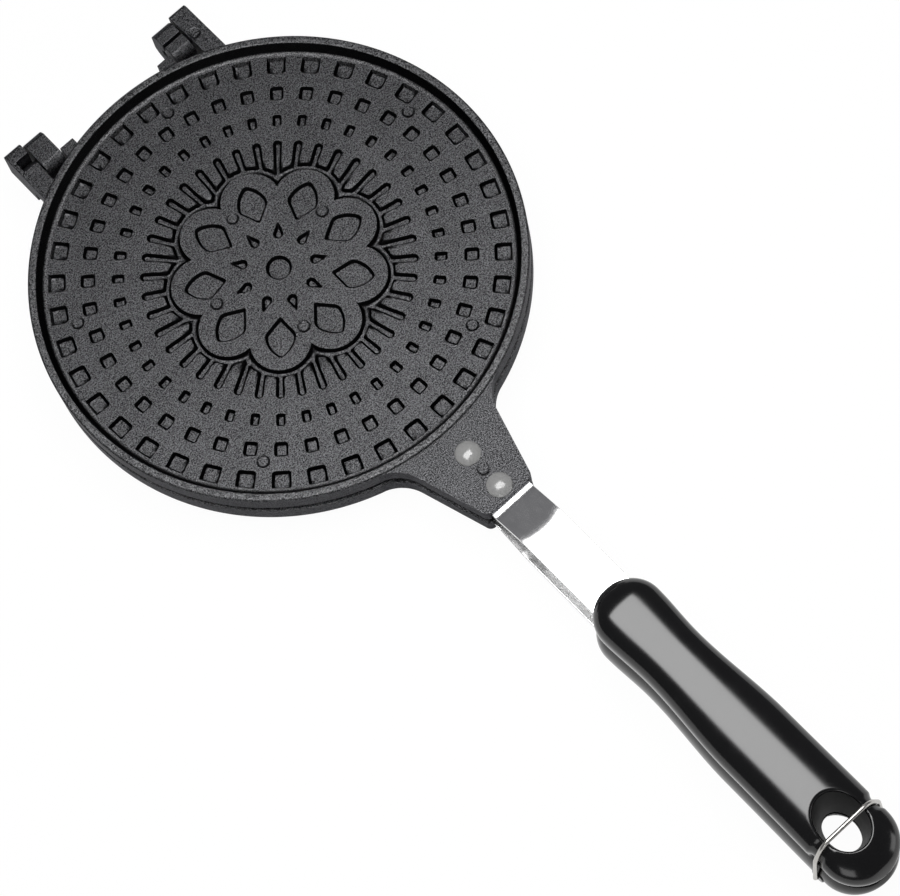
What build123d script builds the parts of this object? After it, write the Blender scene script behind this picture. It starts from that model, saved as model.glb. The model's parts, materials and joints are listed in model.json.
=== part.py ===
from build123d import *
import os
from math import cos, sin, radians, sqrt

# Frame: +Z up, -Y towards the handles, +X right.
# The origin is the middle of the lower plate, on the plane of its bottom rim.
# Each half of the iron is drawn with its heights counted outwards from the mating plane,
# so the lower half is the mirror image of the upper one.

# Driving dimensions, in millimetres

# Plates
plate_radius = 97.5
plate_height = 9.2
parting_gap = 0.3
rim_width = 2.9
rim_draft = 2.2
rim_bevel = 0.9
seam_bevel = 1.0
field_depth = 5.1
cooking_rim_width = 5.0
cooking_depth = 0.9
cooking_draft = 0.9

# Relief on the outer face of each plate, in shares of the sunk field's radius
relief_columns = 40
petals = 9
square_radius_shares = (0.948, 0.812, 0.683)
square_length_shares = (0.0790, 0.0595, 0.0509)
square_width_shares = (0.0779, 0.0552, 0.0357)
slot_radius_shares = (0.400, 0.581)
slot_width_shares = (0.0250, 0.0350)
moat_outer_shares = (0.488, 0.433)
moat_inner_shares = (0.459, 0.381)
petal_radius_shares = (0.227, 0.303, 0.405)
petal_width_share = 0.130
petal_middle_width_share = 0.102
drop_radius_shares = (0.140, 0.158, 0.206)
drop_width_share = 0.0325
centre_pocket_share = 0.053
pocket_depth = 1.2

# Neck of each plate, where its handle strap is riveted
neck_length = 35.5
neck_root_inset = 2.7
neck_end_half_width = 11.3
neck_root_half_width = 22.6
neck_step = 0.8
neck_wall = 2.4
neck_root_fillet = 16.0
neck_corner_fillet = 2.6
neck_edge_round = 1.2

# Hinge
hinge_setback = 5.5
pin_radius = 2.75
pin_running_clearance = 0.05
pin_end_clearance = 0.1
pin_chamfer = 0.4
pin_slit_width = 1.2
knuckle_height = 8.8
outer_lug_heel = 6.3
outer_lug_corner_reach = 11.4
inner_lug_corner_reach = 9.6
inner_lug_start = 29.3
inner_lug_width = 8.6
lug_gap = 1.3
outer_lug_width = 8.2
lug_end_wall = 2.0
lug_edge_round = 0.7
ledge_gap = 0.9
ledge_width = 6.2
ledge_reach = 1.5
ledge_drop = 1.6

# Handle straps
strap_width = 19.0
strap_thickness = 1.6
strap_side_clearance = 0.2
strap_root_setback = 4.0
strap_bend_setback = 2.6
strap_bend_length = 13.6
strap_neck_bend = 5.0
strap_grip_bend = 16.0
strap_free_length = 35.8
strap_end_margin = 16.0
strap_corner_radius = 4.0
strap_grip_clearance = 0.1
strap_end_clearance = 0.6

# Rivets
rivet_front_inset = 8.2
rivet_spacing = 17.5
rivet_shank_radius = 2.45
rivet_hole_clearance = 0.05
rivet_head_radius = 5.2
rivet_head_height = 2.5
rivet_head_edge = 0.4
rivet_tail_radius = 3.8
rivet_tail_height = 0.8

# Grips
grip_length = 145.2
grip_face_gap = 0.4
grip_level = 9.7
grip_nose_half_width = 14.1
grip_waist_half_width = 13.05
grip_bulge_half_width = 15.35
grip_tail_half_width = 15.6
grip_nose_rounding = 13.5
grip_tail_rounding = 15.0
grip_crown_height = 9.3
grip_waist_crown_height = 8.8
grip_nose_crown_rounding = 12.0
grip_tail_fall_length = 34.2
grip_tail_fall_height = 13.9
grip_corner_inset = 4.2
grip_waist_distance = 36.0
grip_bulge_distance = 79.0
grip_cap_offset = 0.35
end_section_shares = (0.0, 0.12, 0.35, 0.7, 1.0)
body_section_shares = (0.17, 0.25, 0.34, 0.44, 0.54, 0.67, 0.79)

# Hanging hole through both grips
hang_hole_tip_distance = 22.6
hang_hole_half_width = 8.3
hang_hole_half_length = 10.45
hang_hole_draft_angle = 4.0

# Grip screws, driven from the flat inner faces
screw_distance = 60.0
screw_shank_radius = 2.0
screw_head_radius = 3.6
screw_head_height = 2.2
screw_head_top = 2.0
screw_reach = 15.0
screw_clearance = 0.1
screw_cross_width = 0.9
screw_cross_length = 4.6
screw_cross_depth = 1.0

# Wire bail that holds the grips together
wire_radius = 0.85
bail_pivot_tip_distance = 18.8
bail_pivot_level = 9.6
bail_lean = 2.0
bail_crossing_sink = 0.1
bail_side_gap = 1.4
bail_leg_spread = 0.6
bail_shoulder_width = 6.0
bail_shoulder_height = 9.2
bail_foot_bend = 1.3
bail_shoulder_bend = 6.0
bail_foot_length = 4.6
bail_pivot_clearance = 0.1
bail_groove_clearance = 0.3
pivot_boss_radius = 2.9
pivot_boss_clearance = 0.15
pivot_bore_end_room = 0.4
groove_half_length = 3.9
groove_side_depth = 1.5

# One overrun serves every cut
overrun = 2.0

# Whole turns and parts of a turn, in degrees
full_turn = 360
half_turn = 180
quarter_turn = 90
handle_direction = -quarter_turn

# Levels, counted outwards from the mating plane
mating_height = plate_height + parting_gap / 2
inner_face = parting_gap / 2
outer_face = inner_face + plate_height
field_level = outer_face - field_depth
neck_face = outer_face - neck_step
strap_outer_face = neck_face - neck_wall
strap_inner_face = strap_outer_face - strap_thickness
bail_crossing_level = grip_level + grip_crown_height - bail_crossing_sink

# Places along the handle, counted from the middle of the plates
neck_root_y = plate_radius - neck_root_inset
neck_end_y = plate_radius + neck_length
strap_root_y = plate_radius + strap_root_setback
rivet_front_y = strap_root_y + rivet_front_inset
rivet_rear_y = rivet_front_y + rivet_spacing
strap_bend_start_y = neck_end_y + strap_bend_setback
strap_bend_end_y = strap_bend_start_y + strap_bend_length
grip_nose_y = strap_bend_end_y + strap_free_length
grip_tip_y = grip_nose_y + grip_length
grip_waist_y = grip_nose_y + grip_waist_distance
grip_bulge_y = grip_nose_y + grip_bulge_distance
grip_tail_fall_start_y = grip_tip_y - grip_tail_fall_length
screw_y = grip_nose_y + screw_distance
strap_end_y = screw_y + strap_end_margin
hang_hole_y = grip_tip_y - hang_hole_tip_distance
bail_pivot_y = grip_tip_y - bail_pivot_tip_distance
bail_crossing_y = bail_pivot_y - bail_lean

# Places across the object
rim_inner_radius = plate_radius - rim_width
field_radius = rim_inner_radius - rim_draft
cooking_radius = plate_radius - cooking_rim_width
hinge_y = plate_radius + hinge_setback
channel_radius = pin_radius + pin_running_clearance
outer_lug_start = inner_lug_start + inner_lug_width + lug_gap
ledge_end = inner_lug_start - ledge_gap
ledge_start = ledge_end - ledge_width
ledge_reach_y = plate_radius + ledge_reach
bail_pivot_half_span = grip_tail_half_width + bail_side_gap
bail_leg_half_span = bail_pivot_half_span + bail_leg_spread
bail_flat_half_span = bail_leg_half_span - bail_shoulder_width
column_angle = full_turn / relief_columns
petal_angle = full_turn / petals

# A cylinder with this alignment stands on its base
standing = (Align.CENTER, Align.CENTER, Align.MIN)


def in_upper_half(shape):
    """Lift a shape drawn from the mating plane to its place in the upper half."""
    return Pos(0, 0, mating_height) * shape


def in_lower_half(shape):
    """Mirror a shape drawn from the mating plane into the lower half."""
    return Pos(0, 0, mating_height) * mirror(shape, about=Plane.XY)


def block(x_range, y_range, z_range):
    """A box given by its lowest and highest place on each axis."""
    size = [high - low for low, high in (x_range, y_range, z_range)]
    middle = [(high + low) / 2 for low, high in (x_range, y_range, z_range)]
    return Pos(*middle) * Box(*size)


def polar(radius, angle):
    """The point of a flat drawing at this radius and angle in degrees."""
    return (radius * cos(radians(angle)), radius * sin(radians(angle)))


# Relief of the outer face

def of_field(shares):
    """Lengths that are these shares of the sunk field's radius."""
    return [share * field_radius for share in shares]


def lobed_face(shares):
    """A flower outline with one arc for each petal, from cusp to cusp through its peak."""
    peak, cusp = of_field(shares)
    arcs = []
    for index in range(petals):
        middle = handle_direction + index * petal_angle
        start = polar(cusp, middle - petal_angle / 2)
        end = polar(cusp, middle + petal_angle / 2)
        arcs.append(ThreePointArc(start, polar(peak, middle), end))
    return make_face(Wire(arcs))


def ring_of(face, radius, first_angle, count):
    """Copies of a face drawn along +X, turned round the middle of the plate."""
    faces = []
    for index in range(count):
        angle = first_angle + index * full_turn / count
        faces.append(Rot(0, 0, angle) * Pos(radius, 0, 0) * face)
    return faces


def slot_face():
    """A radial slot, wider and rounded at its outer end, drawn along +X from the middle."""
    root, tip = of_field(slot_radius_shares)
    root_half, tip_half = [width / 2 for width in of_field(slot_width_shares)]
    round_start = tip - tip_half
    outline = [
        Line((root, -root_half), (round_start, -tip_half)),
        ThreePointArc((round_start, -tip_half), (tip, 0), (round_start, tip_half)),
        Line((round_start, tip_half), (root, root_half)),
        Line((root, root_half), (root, -root_half)),
    ]
    return make_face(Wire(outline))


def petal_face():
    """A petal: pointed inwards with straight sides, a pointed arch outwards, drawn along +X."""
    root, shoulder, tip = of_field(petal_radius_shares)
    half_width = petal_width_share * field_radius / 2
    middle = (shoulder + tip) / 2
    middle_half_width = petal_middle_width_share * field_radius / 2
    low = (shoulder, -half_width)
    high = (shoulder, half_width)
    outline = [
        Line((root, 0), low),
        ThreePointArc(low, (middle, -middle_half_width), (tip, 0)),
        ThreePointArc((tip, 0), (middle, middle_half_width), high),
        Line(high, (root, 0)),
    ]
    return make_face(Wire(outline))


def drop_face():
    """A teardrop: round inwards and pointed outwards, drawn along +X."""
    root, shoulder, tip = of_field(drop_radius_shares)
    half_width = drop_width_share * field_radius / 2
    low = (shoulder, -half_width)
    high = (shoulder, half_width)
    outline = [
        Line(low, (tip, 0)),
        Line((tip, 0), high),
        ThreePointArc(high, (root, 0), low),
    ]
    return make_face(Wire(outline))


def relief_faces():
    """All pockets of the outer face, as flat faces."""
    half_column = handle_direction + column_angle / 2
    moat = lobed_face(moat_outer_shares)
    moat = moat + ring_of(slot_face(), 0, half_column, relief_columns)
    moat = moat - lobed_face(moat_inner_shares)
    faces = list(moat.faces())
    radii = of_field(square_radius_shares)
    lengths = of_field(square_length_shares)
    widths = of_field(square_width_shares)
    for radius, length, width in zip(radii, lengths, widths):
        faces += ring_of(Rectangle(length, width), radius, half_column, relief_columns)
    faces += ring_of(petal_face(), 0, handle_direction, petals)
    faces += ring_of(drop_face(), 0, handle_direction + petal_angle / 2, petals)
    faces.append(Circle(centre_pocket_share * field_radius))
    return faces


def relief_cutters():
    """Solids that sink the pockets into the outer face."""
    floor = field_level - pocket_depth
    cutters = []
    for face in relief_faces():
        cutters.append(Pos(0, 0, floor) * extrude(face, pocket_depth + overrun))
    return cutters


# Plates

def dish():
    """The round plate: raised rim, sunk outer field and shallow cooking face."""
    outline = Polyline(
        (0, inner_face + cooking_depth),
        (cooking_radius, inner_face + cooking_depth),
        (cooking_radius + cooking_draft, inner_face),
        (plate_radius - seam_bevel, inner_face),
        (plate_radius, inner_face + seam_bevel),
        (plate_radius, outer_face - rim_bevel),
        (plate_radius - rim_bevel, outer_face),
        (rim_inner_radius, outer_face),
        (field_radius, field_level),
        (0, field_level),
        close=True,
    )
    return revolve(Plane.XZ * make_face(outline), Axis.Z)


def neck_outline():
    """Plan of the neck: a tapered tongue that flows out of the round rim."""
    taper = (neck_root_half_width - neck_end_half_width) / (neck_end_y - neck_root_y)
    start_y = plate_radius - neck_root_half_width
    start_half_width = neck_end_half_width + taper * (neck_end_y - start_y)
    tongue = make_face(
        Polyline(
            (-start_half_width, -start_y),
            (-neck_end_half_width, -neck_end_y),
            (neck_end_half_width, -neck_end_y),
            (start_half_width, -start_y),
            close=True,
        )
    )
    plan = Circle(plate_radius) + tongue
    corners = plan.vertices().filter_by(lambda corner: abs(corner.Y + neck_end_y) < neck_corner_fillet)
    plan = fillet(corners, neck_corner_fillet)
    roots = plan.vertices().filter_by(
        lambda corner: -plate_radius < corner.Y < -start_y
        and abs(sqrt(corner.X**2 + corner.Y**2) - plate_radius) < rim_bevel
    )
    return fillet(roots, neck_root_fillet)


def neck():
    """The tongue that carries the strap, with a pocket for it on the mating side."""
    tongue = Pos(0, 0, inner_face) * extrude(neck_outline(), neck_face - inner_face)
    top = tongue.faces().sort_by(Axis.Z)[-1]
    tongue = fillet(top.outer_wire().edges(), neck_edge_round)
    bore = Cylinder(plate_radius - rim_width / 2, plate_height + overrun)
    tongue -= Pos(0, 0, inner_face + plate_height / 2) * bore
    return tongue


def strap_pocket():
    """The room for the strap under the neck, open at the neck's end."""
    half_width = strap_width / 2 + strap_side_clearance
    return block(
        (-half_width, half_width),
        (-neck_end_y - overrun, -strap_root_y + strap_side_clearance),
        (inner_face - overrun, strap_outer_face),
    )


def rivet_holes():
    """Through holes for the two rivets."""
    hole = Cylinder(rivet_shank_radius + rivet_hole_clearance, plate_height + overrun)
    middle = inner_face + plate_height / 2
    return [Pos(0, -place, middle) * hole for place in (rivet_front_y, rivet_rear_y)]


def lug(start, width, side, heel, corner_reach):
    """A hinge lug: an arm from the rim that ends in a square head about the pin, its corners cut round."""
    root_y = sqrt(plate_radius**2 - (start + width) ** 2) - rim_width
    arm = make_face(
        Polyline(
            (root_y, inner_face),
            (hinge_y, inner_face),
            (hinge_y, knuckle_height),
            (root_y, knuckle_height),
            close=True,
        )
    )
    head = make_face(
        Polyline(
            (hinge_y - knuckle_height, -heel),
            (hinge_y + knuckle_height, -heel),
            (hinge_y + knuckle_height, knuckle_height),
            (hinge_y - knuckle_height, knuckle_height),
            close=True,
        )
    )
    profile = arm + (head & (Pos(hinge_y, 0) * Circle(corner_reach)))
    body = extrude(Plane.YZ * profile, width)
    body = chamfer(body.faces().sort_by(Axis.X)[-1].edges(), lug_edge_round)
    body = chamfer(body.faces().sort_by(Axis.X)[0].edges(), lug_edge_round)
    body = Pos(start, 0, 0) * body
    keep = block((0, start + width + overrun), (0, hinge_y * 2), (-plate_radius, plate_radius))
    hollow = Pos(0, 0, plate_height / 2) * Cylinder(plate_radius - rim_width / 2, plate_radius)
    body = (body & keep) - hollow
    return body if side > 0 else mirror(body, about=Plane.YZ)


def pin_channel(start, end, side, opening, mouth_width):
    """Room for the pin: a round seat that is open on the outer (+1) or mating (-1) side."""
    middle = side * (start + end) / 2
    seat = Pos(middle, hinge_y, 0) * Rot(0, quarter_turn, 0) * Cylinder(channel_radius, end - start)
    reach = opening * (knuckle_height + overrun)
    mouth = block(
        (middle - (end - start) / 2, middle + (end - start) / 2),
        (hinge_y - mouth_width / 2, hinge_y + mouth_width / 2),
        (min(0, reach), max(0, reach)),
    )
    return seat + mouth


def lid_lugs():
    """The outer lugs and the ledges inside them; the left channel opens outwards, the right one inwards."""
    end = outer_lug_start + outer_lug_width - lug_end_wall
    root_y = sqrt(plate_radius**2 - inner_lug_start**2) - rim_width / 2
    solids = []
    for side in (-1, 1):
        body = lug(outer_lug_start, outer_lug_width, side, outer_lug_heel, outer_lug_corner_reach)
        solids.append(body - pin_channel(outer_lug_start - overrun, end, side, -side, channel_radius * 2))
        near, far = sorted((side * ledge_start, side * ledge_end))
        solids.append(
            block((near, far), (root_y, ledge_reach_y), (inner_face + seam_bevel, neck_face - ledge_drop))
        )
    return solids


def base_lugs():
    """The inner lugs; the left channel opens downwards, and the right one has a slit on top."""
    end = inner_lug_start + inner_lug_width
    solids = []
    for side, mouth_width in ((-1, channel_radius * 2), (1, pin_slit_width)):
        body = lug(inner_lug_start, inner_lug_width, side, knuckle_height, inner_lug_corner_reach)
        solids.append(body - pin_channel(inner_lug_start - overrun, end + overrun, side, -side, mouth_width))
    return solids


def plate(lugs):
    """One casting: dish, neck and hinge lugs in one piece, with the relief sunk in."""
    body = dish() + neck()
    for piece in lugs:
        body += piece
    body -= strap_pocket()
    for hole in rivet_holes():
        body -= hole
    return body - relief_cutters()


# Hinge pins

def hinge_pin(side):
    """A plain steel pin through one pair of lugs."""
    start = inner_lug_start + lug_edge_round
    end = outer_lug_start + outer_lug_width - lug_end_wall - pin_end_clearance
    pin = chamfer(Cylinder(pin_radius, end - start).edges(), pin_chamfer)
    return Pos(side * (start + end) / 2, hinge_y, mating_height) * Rot(0, quarter_turn, 0) * pin


# Straps

def strap_line():
    """Side view of a strap: flat under the neck, bent outwards, flat into the grip."""
    seat_level = strap_inner_face + strap_thickness / 2
    return FilletPolyline(
        (0, -strap_root_y, seat_level),
        (0, -strap_bend_start_y, seat_level),
        (0, -strap_bend_end_y, grip_level),
        (0, -strap_end_y, grip_level),
        radius=[strap_neck_bend, strap_grip_bend],
    )


def strap_band(width, thickness, line):
    """A flat band of this section carried along a line that starts towards -Y."""
    section = Plane(origin=line @ 0, x_dir=(1, 0, 0), z_dir=(0, -1, 0)) * Rectangle(width, thickness)
    return sweep(section, path=line)


def strap():
    """A polished steel strap with its rivet and screw holes."""
    band = strap_band(strap_width, strap_thickness, strap_line())
    root_edges = band.edges().filter_by(Axis.Z).sort_by(Axis.Y)
    band = fillet(root_edges[-2:] + root_edges[:2], strap_corner_radius)
    for hole in rivet_holes():
        band -= hole
    return band - Pos(0, -screw_y, grip_level) * Cylinder(
        screw_shank_radius + screw_clearance, strap_thickness + overrun
    )


def strap_tunnel():
    """The slot in a grip that the strap is pushed into."""
    half_width = strap_width / 2 + strap_grip_clearance
    half_height = strap_thickness / 2 + strap_grip_clearance
    return block(
        (-half_width, half_width),
        (-strap_end_y - strap_end_clearance, -grip_nose_y + overrun),
        (grip_level - half_height, grip_level + half_height),
    )


# Rivets

def rivet(place):
    """A rivet with a domed head on the neck and a flat tail on the strap."""
    tail_face = strap_inner_face - rivet_tail_height
    dome_start = neck_face + rivet_head_edge
    dome_height = rivet_head_height - rivet_head_edge
    dome_radius = (rivet_head_radius**2 + dome_height**2) / (2 * dome_height)
    half_way = rivet_head_radius / 2
    half_way_level = dome_start + dome_height - dome_radius + sqrt(dome_radius**2 - half_way**2)
    edges = Polyline(
        (0, dome_start + dome_height),
        (0, tail_face),
        (rivet_tail_radius, tail_face),
        (rivet_tail_radius, strap_inner_face),
        (rivet_shank_radius, strap_inner_face),
        (rivet_shank_radius, neck_face),
        (rivet_head_radius, neck_face),
        (rivet_head_radius, dome_start),
    )
    dome = ThreePointArc(edges @ 1, (half_way, half_way_level), edges @ 0)
    profile = make_face(Wire([*edges.edges(), dome]))
    return Pos(0, -place, 0) * revolve(Plane.XZ * profile, Axis.Z)


# Grips

def grip_section(place, half_width, low, high):
    """A grip's cross-section: domed outside, flat towards the mating plane, round corners."""
    level = (low + high) / 2
    rise = (high - low) / 2
    inset = min(grip_corner_inset, half_width / 2)
    corner = half_width - inset
    outline = [
        EllipticalCenterArc((0, level), half_width, rise, start_angle=0, arc_size=half_turn),
        EllipticalCenterArc((-corner, level), inset, rise, start_angle=half_turn, arc_size=quarter_turn),
        Line((-corner, low), (corner, low)),
        EllipticalCenterArc((corner, level), inset, rise, start_angle=-quarter_turn, arc_size=quarter_turn),
    ]
    plane = Plane(origin=(0, -place, 0), x_dir=(1, 0, 0), z_dir=(0, -1, 0))
    return plane * make_face(Wire(outline))


def rounded_end(distance, rounding):
    """How full a quarter-round end is at this distance from its tip, from 0 to 1."""
    if distance >= rounding:
        return 1
    return sqrt(1 - (1 - distance / rounding) ** 2)


def between(place, start, end, low, high):
    """A smooth step from low to high as place goes from start to end."""
    share = min(max((place - start) / (end - start), 0), 1)
    return low + (high - low) * (1 - cos(radians(half_turn * share))) / 2


def grip_half_width(place):
    """Half the grip's width: bulb at the nose, waist, palm bulge, nearly straight tail."""
    nose_full_y = grip_nose_y + grip_nose_rounding
    if place < grip_waist_y:
        return between(place, nose_full_y, grip_waist_y, grip_nose_half_width, grip_waist_half_width)
    if place < grip_bulge_y:
        return between(place, grip_waist_y, grip_bulge_y, grip_waist_half_width, grip_bulge_half_width)
    return between(place, grip_bulge_y, grip_tip_y, grip_bulge_half_width, grip_tail_half_width)


def grip_crown(place):
    """Height of the crown over the widest level."""
    if place < grip_waist_y:
        return between(place, grip_nose_y, grip_waist_y, grip_crown_height, grip_waist_crown_height)
    return between(place, grip_waist_y, grip_bulge_y, grip_waist_crown_height, grip_crown_height)


def grip_fall(place):
    """How far the crown has fallen towards the tip."""
    if place <= grip_tail_fall_start_y:
        return 0
    share = (place - grip_tail_fall_start_y) / (grip_tail_fall_length + grip_cap_offset)
    return grip_tail_fall_height * (1 - sqrt(1 - min(share, 1) ** 2))


def grip_blank():
    """The grip's body, lofted through sections that close up towards nose and tip."""
    first = grip_nose_y + grip_cap_offset
    last = grip_tip_y - grip_cap_offset
    nose_places = [first + grip_nose_rounding * share for share in end_section_shares]
    tail_places = [last - grip_tail_rounding * share for share in end_section_shares]
    body_places = [grip_nose_y + grip_length * share for share in body_section_shares]
    sections = []
    for place in sorted(nose_places + body_places + tail_places):
        nose = rounded_end(place - grip_nose_y, grip_nose_rounding)
        nose_rise = rounded_end(place - grip_nose_y, grip_nose_crown_rounding)
        tail = rounded_end(grip_tip_y - place, grip_tail_rounding)
        low = grip_level - (grip_level - grip_face_gap) * nose_rise * (1 + tail) / 2
        high = grip_level + grip_crown(place) * nose_rise - grip_fall(place)
        sections.append(grip_section(place, grip_half_width(place) * nose * tail, low, high))
    return loft(sections)


def hang_hole():
    """The oval hole to hang the iron by, which widens from the mating plane to the crown."""
    oval = Ellipse(hang_hole_half_width, hang_hole_half_length)
    reach = grip_level + grip_crown_height + overrun
    return Pos(0, -hang_hole_y, 0) * extrude(oval, reach, taper=-hang_hole_draft_angle)


def screw_hole():
    """Counterbore and blind hole for the grip screw."""
    head_room = screw_head_top + screw_head_height
    bore = Cylinder(screw_head_radius + screw_clearance, head_room + overrun, align=standing)
    shank = Cylinder(screw_shank_radius + screw_clearance, screw_reach + screw_clearance, align=standing)
    return Pos(0, -screw_y, -overrun) * bore + Pos(0, -screw_y, 0) * shank


def grip():
    """One grip with its strap slot, screw hole and hanging hole."""
    return grip_blank() - strap_tunnel() - screw_hole() - hang_hole()


def bail_groove():
    """The notch across the crown where the wire drops in."""
    slab = block(
        (-grip_bulge_half_width - overrun, grip_bulge_half_width + overrun),
        (-bail_crossing_y - groove_half_length, -bail_crossing_y + groove_half_length),
        (grip_level - grip_crown_height / 2, grip_level + grip_crown_height + overrun),
    )
    core = grip_section(
        bail_crossing_y - groove_half_length - overrun,
        grip_half_width(bail_crossing_y) - groove_side_depth,
        grip_face_gap,
        bail_crossing_level - wire_radius - bail_groove_clearance,
    )
    return slab - extrude(core, (groove_half_length + overrun) * 2)


def pivoted_grip():
    """The lower grip, with a boss and a bore on each side for the bail's feet."""
    body = grip()
    boss_end = bail_pivot_half_span - wire_radius - pivot_boss_clearance
    boss_start = grip_tail_half_width - overrun
    bore_start = bail_pivot_half_span - bail_foot_length - pivot_bore_end_room
    for side in (-1, 1):
        boss = Cylinder(pivot_boss_radius, boss_end - boss_start)
        middle = side * (boss_end + boss_start) / 2
        body += Pos(middle, -bail_pivot_y, bail_pivot_level) * Rot(0, quarter_turn, 0) * boss
        bore = Cylinder(wire_radius + bail_pivot_clearance, bail_pivot_half_span + overrun - bore_start)
        middle = side * (bore_start + bail_pivot_half_span + overrun) / 2
        body -= Pos(middle, -bail_pivot_y, bail_pivot_level) * Rot(0, quarter_turn, 0) * bore
    return body


def grip_screw():
    """A cross-head screw that pins a grip to its strap."""
    head = Cylinder(screw_head_radius, screw_head_height, align=standing)
    head = Pos(0, 0, screw_head_top) * head
    for turn in (0, quarter_turn):
        groove = Box(screw_cross_length, screw_cross_width, screw_cross_depth * 2)
        head -= Pos(0, 0, screw_head_top) * Rot(0, 0, turn) * groove
    shank_start = screw_head_top + screw_head_height
    shank = Cylinder(screw_shank_radius, screw_reach - shank_start, align=standing)
    return Pos(0, -screw_y, 0) * (head + Pos(0, 0, shank_start) * shank)


# Bail

def bail():
    """One wire: feet in the lower grip, legs up both sides, shoulders and a flat crossing."""
    rise = bail_pivot_level + bail_crossing_level
    lean = bail_pivot_y - bail_crossing_y
    reach = sqrt(rise**2 + lean**2)
    half_points = [
        (bail_pivot_half_span - bail_foot_length, 0),
        (bail_pivot_half_span, 0),
        (bail_leg_half_span, reach - bail_shoulder_height),
        (bail_flat_half_span, reach),
    ]
    points = [(-across, along) for across, along in half_points]
    points += [(across, along) for across, along in reversed(half_points)]
    bends = [bail_foot_bend, bail_shoulder_bend, bail_shoulder_bend]
    line = FilletPolyline(*points, radius=bends + bends[::-1])
    plane = Plane(
        origin=(0, -bail_pivot_y, mating_height - bail_pivot_level),
        x_dir=(1, 0, 0),
        z_dir=(0, -rise, lean),
    )
    line = plane * line
    section = Plane(origin=line @ 0, z_dir=line % 0) * Circle(wire_radius)
    return sweep(section, path=line)


def build():
    """Every piece in its place, by the name of its file."""
    lid = plate(lid_lugs())
    base = plate(base_lugs())
    band = strap()
    front = rivet(rivet_front_y)
    rear = rivet(rivet_rear_y)
    upper_grip = grip() - bail_groove()
    return {
        "upper_plate": in_upper_half(lid),
        "lower_plate": in_lower_half(base),
        "left_hinge_pin": hinge_pin(-1),
        "right_hinge_pin": hinge_pin(1),
        "upper_strap": in_upper_half(band),
        "lower_strap": in_lower_half(band),
        "upper_front_rivet": in_upper_half(front),
        "upper_rear_rivet": in_upper_half(rear),
        "lower_front_rivet": in_lower_half(front),
        "lower_rear_rivet": in_lower_half(rear),
        "upper_grip": in_upper_half(upper_grip),
        "lower_grip": in_lower_half(pivoted_grip()),
        "upper_grip_screw": in_upper_half(grip_screw()),
        "lower_grip_screw": in_lower_half(grip_screw()),
        "latch_bail": bail(),
    }


os.makedirs("parts", exist_ok=True)
for name, shape in build().items():
    export_step(shape, f"parts/{name}.step")
    print(name, len(shape.solids()), round(shape.volume, 1))
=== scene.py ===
"""The looks of an egg roll maker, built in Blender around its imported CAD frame.

Sizes are in millimetres, and each mesh is put into metres when it is made. Each half of the iron is
drawn with its heights counted outwards from the mating plane, so the lower half mirrors the upper one.
"""

import json
import logging
import math
from abc import ABC, abstractmethod
from dataclasses import dataclass, field
from enum import Enum, IntEnum
from typing import Callable, Optional, Sequence, Union

import bmesh
import bpy
import numpy as np
from mathutils import Matrix, Vector

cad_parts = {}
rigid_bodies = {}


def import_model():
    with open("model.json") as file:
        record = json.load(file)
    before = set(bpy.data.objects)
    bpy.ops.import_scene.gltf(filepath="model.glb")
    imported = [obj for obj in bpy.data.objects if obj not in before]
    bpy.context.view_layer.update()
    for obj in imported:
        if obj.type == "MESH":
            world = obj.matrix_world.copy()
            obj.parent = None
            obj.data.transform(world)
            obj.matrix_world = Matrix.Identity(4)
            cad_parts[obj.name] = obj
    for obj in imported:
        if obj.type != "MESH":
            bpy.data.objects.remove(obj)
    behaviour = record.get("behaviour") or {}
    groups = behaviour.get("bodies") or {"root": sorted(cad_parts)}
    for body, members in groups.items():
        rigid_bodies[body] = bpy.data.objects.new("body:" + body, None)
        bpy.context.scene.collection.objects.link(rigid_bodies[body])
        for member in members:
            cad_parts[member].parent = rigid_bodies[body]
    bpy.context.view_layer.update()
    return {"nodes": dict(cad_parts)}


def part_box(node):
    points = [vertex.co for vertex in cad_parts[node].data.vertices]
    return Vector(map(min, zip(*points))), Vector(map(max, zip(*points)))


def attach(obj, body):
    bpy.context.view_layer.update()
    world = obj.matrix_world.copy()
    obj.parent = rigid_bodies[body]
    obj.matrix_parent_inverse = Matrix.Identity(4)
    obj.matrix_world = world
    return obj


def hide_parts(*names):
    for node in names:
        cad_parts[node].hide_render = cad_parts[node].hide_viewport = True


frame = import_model()

MM = 0.001
MERGE_DISTANCE = 1e-7
SHORTEST_EDGE = 1e-8
log = logging.getLogger("egg_roll_maker")

Number = Union[int, float]
Points = np.ndarray


def frame_mm(node: str) -> tuple[Points, Points]:
    """A CAD node's lowest and highest corners at rest.

    Args:
        node: The node's name.

    Returns:
        Both corners as arrays, in millimetres.
    """
    low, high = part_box(node)
    return np.array(low) / MM, np.array(high) / MM


MATING_HEIGHT = (frame_mm("lower_plate")[0][2] + frame_mm("upper_plate")[1][2]) / 2


class Half(Enum):
    """Which half of the iron a piece belongs to."""

    UPPER = "upper"
    LOWER = "lower"

    @property
    def sign(self) -> int:
        """1 where heights run up, -1 where they run down."""
        return 1 if self is Half.UPPER else -1

    @property
    def body(self) -> str:
        """The CAD body that this half rides on."""
        return "lid" if self is Half.UPPER else "base"

    def node(self, part: str) -> str:
        """The CAD node of this half's part."""
        return f"{self.value}_{part}"


class Side(Enum):
    """Left or right of the handle's line, seen from above with the handles at the bottom."""

    LEFT = -1
    RIGHT = 1


class Opening(Enum):
    """How a hinge lug's pin channel opens, as the side that its mouth is on."""

    OUTWARD = 1
    MATING = -1


# Shape formulas


def smooth_step(share: Points) -> Points:
    """The S-curve 3t^2 - 2t^3 of a share that is held between 0 and 1."""
    held = np.clip(share, 0.0, 1.0)
    return held * held * (3.0 - 2.0 * held)


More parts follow.
